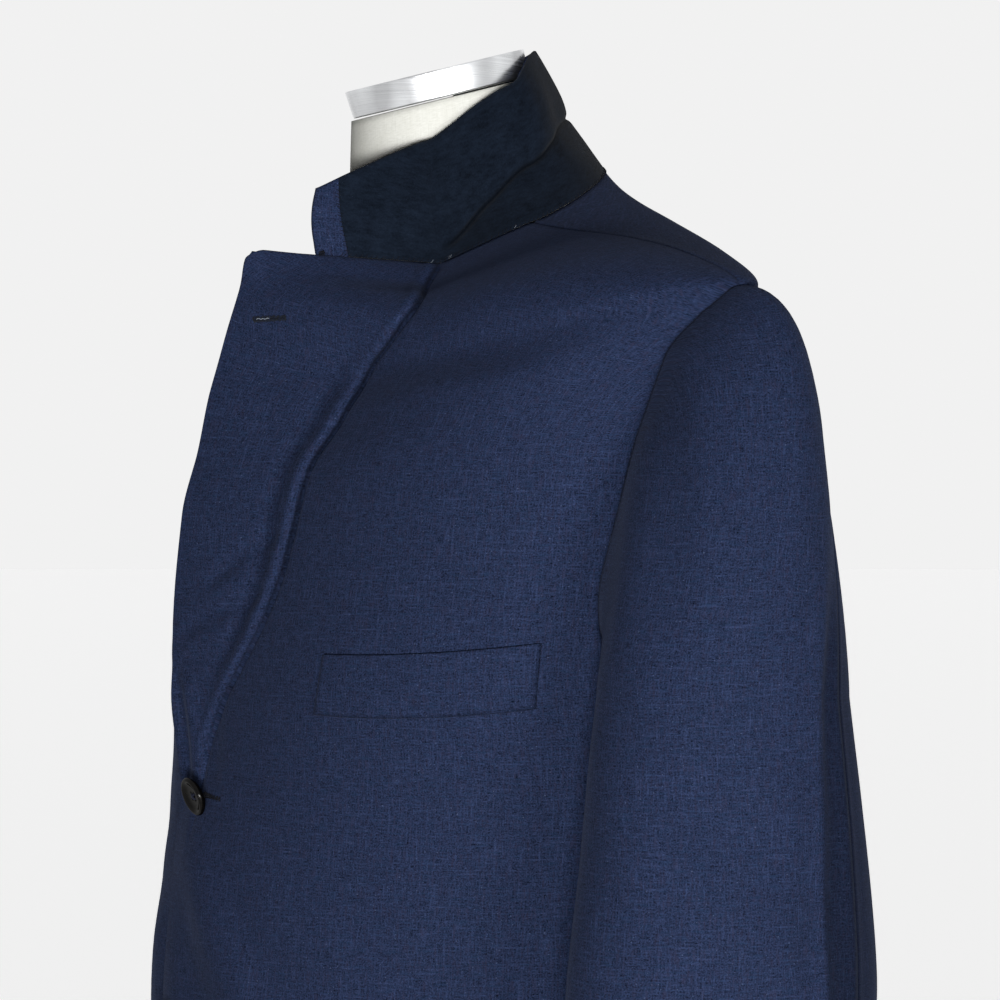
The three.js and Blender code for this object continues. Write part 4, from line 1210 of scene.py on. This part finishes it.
def make_buttons():
    out = BUTTON_HOLES["out"] / 1.414
    holes = [(sx * out, sy * out) for sx in (1, -1) for sy in (1, -1)]
    inner = [[r, 2.5] for r in np.linspace(3.5, 0.15, 16)]
    for order, level in enumerate(BUTTON["levels"]):
        place = button_place(level, order)
        grid = lathe_points(BUTTON_FACE + inner, 72)
        face = np.arange(len(grid)) >= len(BUTTON_FACE)
        for x, y in holes:
            off = np.hypot(grid[..., 0] - x, grid[..., 1] - y) / BUTTON_HOLES["radius"]
            grid[..., 2] -= BUTTON_HOLES["deep"] * (1 - smooth(off, 0.55, 1.05)) * face[:, None]
        ringed(f"button_shell_{order + 1}", placed(grid, place), [f"button_{order + 1}"], HORN)
        lines = []
        for a, b in ((0, 3), (1, 2), (0, 3), (1, 2)):
            aside = 0.22 * (1 if len(lines) % 4 < 2 else -1)
            t = np.linspace(0, 1, 9)
            x = mix(holes[a][0], holes[b][0], t) + aside
            y = mix(holes[a][1], holes[b][1], t) + aside * (1 if a == 0 else -1) * -1
            z = 1.7 + 1.35 * np.sin(np.pi * t) ** 0.5
            lines.append(placed(np.stack([x, y, z], 1), place))
        threads(f"button_thread_{order + 1}", lines, 0.28, BUTTON_THREAD, "horn")
        turned(f"button_shank_{order + 1}", SHANK, 20, place, [], BUTTON_THREAD)


def on_front(places):
    """Points on the outer face of the left front, and its normals there, by their places on the cloth."""
    points, normals = (FRONT_FACE[key].reshape(-1, 3) for key in ("points", "normals"))
    out, facing = [], []
    for a, b in places:
        gap = ((FRONT_FACE["u"] - a) ** 2 + (FRONT_FACE["v"] - b) ** 2).ravel()
        near = np.argpartition(gap, 6)[:6]
        weight = 1 / (gap[near] + 0.05)
        weight /= weight.sum()
        out.append(weight @ points[near])
        facing.append(unit(weight @ normals[near]))
    return np.array(out), np.array(facing)


def mirrored_for(side, points):
    return points * np.array([-1 if side == "right" else 1, 1, 1])


def make_buttonhole(name, start, end, width, material, seed, worn=0.0):
    """A worked buttonhole: two rows of close stitches, barred at each end, with painted shadow along the
    slit.

    The pale cord under the stitches shows over a share, worn, of its length.
    """
    rng = np.random.default_rng(seed)
    start, end = np.array(start, float), np.array(end, float)
    length = np.linalg.norm(end - start)
    along = (end - start) / length
    across = np.array([-along[1], along[0]])

    def sewn(places, lift):
        point, normal = on_front(places)
        return point + normal * lift

    lines = []
    for sign in (1, -1):
        for s in np.arange(0.3, length, 0.62):
            middle = start + along * (s + rng.normal(0, 0.05))
            reach = width * (1 + rng.normal(0, 0.07))
            t = np.linspace(0.12, 1, 5)[:, None]
            lines.append(sewn(middle + across * sign * reach * t, 0.34 * np.sin(np.pi * t) ** 0.5 - 0.08))
    t = np.linspace(-1, 1, 6)[:, None]
    for s in (-0.2, length + 0.2):
        for k in (-1, 0, 1):
            bar = start + along * (s + 0.35 * k) + across * width * 0.95 * t
            lines.append(sewn(bar, 0.5 * np.cos(np.pi * t / 2) - 0.08))
    threads(name, lines, 0.2, material)
    # A dark tube along the slit, in the dark thread's material, is painted shadow.
    slit_shadow = start + along * length * np.linspace(0, 1, 20)[:, None]
    threads(f"{name}_slit", [sewn(slit_shadow, 0.02)], 0.24, DARK_THREAD)
    if worn:
        gimp = start + along * length * np.linspace(0.06, worn, 12)[:, None]
        threads(f"{name}_gimp", [sewn(gimp, 0.28)], 0.22, PALE_THREAD)


def felling(name, points, normals, one_way, other_way, spacing, material, seed, radius, share=1.0):
    """Slanting hand stitches over an edge, from the cloth on one side of it to the cloth on the other."""
    rng = np.random.default_rng(seed)
    length = along_line(points)
    along = unit(np.gradient(points, axis=0))
    lines = []
    for at in np.arange(spacing, length[-1] - spacing / 2, spacing):
        here = at + rng.normal(0, spacing * 0.16)
        keep = rng.random() < share
        reach = (1.25 + rng.normal(0, 0.2), 1.05 + rng.normal(0, 0.2))
        lists = (points, normals, along, one_way, other_way)
        point, facing, way, up, down = (at_length(here, length, values) for values in lists)
        t = np.linspace(-1, 1, 8)[:, None]
        path = point + up * np.maximum(t, 0) * reach[0] + down * np.maximum(-t, 0) * reach[1]
        if keep:
            lines.append(path + way * spacing * 0.3 * t + facing * (0.22 - 0.2 * t**4))
    threads(name, lines, radius, material)


def neck_seam(side, first, last, count):
    """The collar's seam between two shares of its length, with the ways up the felt and down the coat."""
    points, length, normals, down = half_rail(side)
    at = np.linspace(first, last, count) * length[-1]
    seat, facing, below = (at_length(at, length, values) for values in (points, normals, down))
    up = unit(vectors(read_collar[side](1 - at / length[-1]), "fold"))
    facing = unit(facing + unit(seat * FLAT))
    return [mirrored_for(side, values) for values in (seat, facing, up, below)]


def make_seam_stitches():
    for side, seed, worn in (("left", 3, 0.07), ("right", 8, 0.2)):
        rows = (  # name, from, to, count of points, spacing, thread, radius, share of stitches that show
            ("", 0.04, 0.97, 400, 2.6, DARK_THREAD, 0.15, 1.0),
            ("_pale", 0.19, 0.31, 120, 1.7, PALE_THREAD, 0.13, 0.35),
            ("_worn", 0.34, 0.62, 160, 3.1, PALE_THREAD, 0.12, worn),
        )
        for k, (name, first, last, count, spacing, material, radius, share) in enumerate(rows):
            seam = neck_seam(side, first, last, count)
            felling(f"neck_felling{name}_{side}", *seam, spacing, material, seed + k, radius, share)


def make_strip_stitches(grid, normals, column, name, seed):
    """Dark stitches that hold the cloth turned round the collar's end down on the felt."""
    line, facing = grid[2:-1, column], normals[2:-1, column]
    along = unit(np.gradient(line, axis=0))
    across = unit(np.cross(facing, along))
    felling(name, line, facing, across, -across, 2.3, DARK_THREAD, seed, 0.13)


def make_gorge_tack():
    """A few stitches worked over each other where the collar's end meets the lapel."""
    for side, seed in (("left", 21), ("right", 22)):
        rng = np.random.default_rng(seed)
        seat, facing, up, below = (values[0] for values in neck_seam(side, 0.012, 0.03, 2))
        along = unit(np.cross(facing, up))
        lines = []
        for k in range(7):
            t = np.linspace(-1, 1, 7)[:, None]
            slant = along * (0.5 * (k - 3) + 0.5 * t)
            slant = slant + up * np.maximum(t, 0) * 1.7 + below * np.maximum(-t, 0) * 1.5
            lines.append(seat + slant + facing * (0.35 + 0.1 * rng.random() - 0.3 * t**4))
        threads(f"gorge_tack_{side}", lines, 0.2, DARK_THREAD)


def make_buttonholes():
    make_buttonhole("lapel_buttonhole", (7.5, 862.8), (26.5, 869), 1.5, LAPEL_THREAD, 5, 0.5)
    for order, level in enumerate(BUTTON["levels"]):
        ends = (11, level + 0.5), (27, level - 0.5)
        make_buttonhole(f"buttonhole_{order + 1}", *ends, 1.2, DARK_THREAD, 30 + order)


# ---------------- the form and its stand
NECK = {"middle": 0.5, "level": 983, "tilt": 15}
BAND = {"inner": 42.5, "lower": 45.3, "upper": 46.5, "height": 14}
BLOCK = {"radius": 42.15, "below": 0.8}
BASE = {"radius": 165, "height": 18, "edge": 4}
FLANGE = {"radius": 45, "height": 10}
POLE = {"radius": 16, "top": 235}


def make_form():
    rows = np.concatenate([np.linspace(0, 11, 100), np.linspace(11, 16, 90)[1:]])
    turn = np.linspace(0, 360, 180, endpoint=False)
    grid = section(read_form(rows[:, None]), turn[None])
    low = grid[0].mean(axis=0)
    foot = [low + (grid[0] - low) * s - np.array([0, 0, (1 - s) * 1.5]) for s in (0.1, 0.5, 0.85, 0.975)]
    high = grid[-1].mean(axis=0)
    head = [high + (grid[-1] - high) * s for s in (0.97, 0.6, 0.1)]
    ringed("linen_torso", np.concatenate([foot, grid, head]), ["form_torso"], LINEN)
    half = BAND["height"] / 2
    rise = Matrix.Translation((0, NECK["middle"], NECK["level"] + half))
    place = rise @ Matrix.Rotation(math.radians(NECK["tilt"]), 4, "X")
    start = [BAND["inner"], 0.2 - half]
    band = [start, [BAND["lower"], -half], [BAND["upper"], half], [BAND["inner"], half], start]
    ring = rounded(band, 0.9, 4)[:-1]
    turned("steel_band", ring, 160, place, ["form_neck_band"], BAND_STEEL, True)
    top = half - BLOCK["below"]
    side = [[BLOCK["radius"], -half], [BLOCK["radius"], top - 1], [BLOCK["radius"] - 0.95, top]]
    block = [[0.2, -half], *side, [30, top], [0.2, top]]
    turned("linen_neck_cap", rounded(block, 2.5, 5), 120, place, ["form_neck_cap"], LINEN)


def make_stand():
    def part(name, node, profile, radius, count, segments):
        place = Matrix.Identity(4)
        turned(f"steel_{name}", rounded(profile, radius, count), segments, place, [node], STEEL)

    r, height, edge = BASE["radius"], BASE["height"], BASE["edge"]
    base = [[0.5, 0], [r - 1, 0], [r, 1.2], [r, height - edge], [r - edge, height], [0.5, height]]
    part("base", "stand_base", base, 2.2, 6, 192)
    foot = height + CLEARANCE / 2
    top, r = foot + FLANGE["height"], FLANGE["radius"]
    flange = [[r, foot], [r, foot + 5], [r - 3, foot + 7], [24, top - 1.5], [19, top]]
    flange = [[0.5, foot], *flange, [0.5, top]]
    part("flange", "stand_flange", flange, 1.5, 5, 96)
    low = height + FLANGE["height"] + CLEARANCE + CLEARANCE / 2
    high, r = POLE["top"] - CLEARANCE / 2, POLE["radius"]
    ring = [[r, 120], [r, 121.5], [r - 0.6, 122], [r - 0.6, 123], [r, 123.5]]
    part("pole", "stand_pole", [[0.5, low], [r, low], *ring, [r, high], [0.5, high]], 0.6, 3, 72)


# ---------------- camera, light and floor
CAMERA = {"turn": 65, "distance": 2.0, "sight": 0.770, "aside": 0.032, "lens": 142.57, "shift": 0.0198}
LIT_HEIGHT = 0.7  # what the softboxes look at
BACKDROP, AMBIENT = (0.88, 0.88, 0.88, 1), 0.02
FLOOR_RADIUS, FLOOR_CORNERS = 60, 64


def make_camera():
    turn = math.radians(CAMERA["turn"])
    towards = Vector((math.sin(turn), -math.cos(turn), 0))
    beside = Vector((math.cos(turn), math.sin(turn), 0))
    data = bpy.data.cameras.new("camera")
    data.lens, data.sensor_width = CAMERA["lens"], 36
    data.shift_y = CAMERA["shift"]
    data.clip_start, data.clip_end = 0.05, 200
    camera = linked("camera", data)
    away = beside * CAMERA["aside"] + towards * CAMERA["distance"]
    camera.location = away + Vector((0, 0, CAMERA["sight"]))
    camera.rotation_euler = (math.pi / 2, 0, turn)
    bpy.context.scene.camera = camera


def softbox(name, azimuth, elevation, distance, size, power):
    a, e = math.radians(azimuth), math.radians(elevation)
    back = Vector((math.sin(a) * math.cos(e), -math.cos(a) * math.cos(e), math.sin(e)))
    data = bpy.data.lights.new(name, "AREA")
    data.shape = "RECTANGLE"
    data.size, data.size_y = size
    data.energy = power
    light = linked(name, data)
    light.visible_camera = False
    light.location = back * distance + Vector((0, 0, LIT_HEIGHT))
    light.rotation_mode = "QUATERNION"
    light.rotation_quaternion = (-back).to_track_quat("-Z", "Y")


def make_surroundings():
    """A pale backdrop that the camera and reflections see, a faint light from all round, and a floor."""
    world = bpy.data.worlds.new("studio")
    bpy.context.scene.world = world
    g = Graph(world, "Background")
    rays = [g.node("LightPath", {}, f"Is {kind} Ray") for kind in ("Camera", "Glossy")]
    g.set(Color=BACKDROP, Strength=g.ramp(g.math("MAXIMUM", *rays), 0, 1, AMBIENT, 1))
    mesh = bpy.data.meshes.new("floor")
    turns = np.linspace(0, 2 * math.pi, FLOOR_CORNERS, endpoint=False)
    ring = [(FLOOR_RADIUS * math.cos(t), FLOOR_RADIUS * math.sin(t), 0) for t in turns]
    mesh.from_pydata(ring, [], [list(range(FLOOR_CORNERS))])
    floor = linked("floor", mesh)
    g = new_graph("floor")
    colour = g.blend(g.noise(g.place(), 3, 2, 0.5), (0.80, 0.80, 0.80, 1), (0.84, 0.84, 0.84, 1))
    g.set(Emission_Color=BACKDROP, Emission_Strength=0.9)
    mesh.materials.append(g.set(Base_Color=colour, Roughness=0.9))
    floor.visible_diffuse = False


make_camera()
make_surroundings()
softbox("key", 63, -8, 3.0, (0.8, 0.45), 78)
softbox("side", 92, -4, 3.0, (0.9, 0.7), 28)
softbox("behind", 238, 0, 3.2, (1.8, 1.4), 9)
bpy.context.scene.view_settings.view_transform = "Standard"

for side in ("left", "right"):
    make_front(side)
    make_side(side)
    make_back(side)
make_sleeves()
make_collar()
make_welt()
make_buttons()
make_seam_stitches()
make_gorge_tack()
make_buttonholes()
make_form()
make_stand()
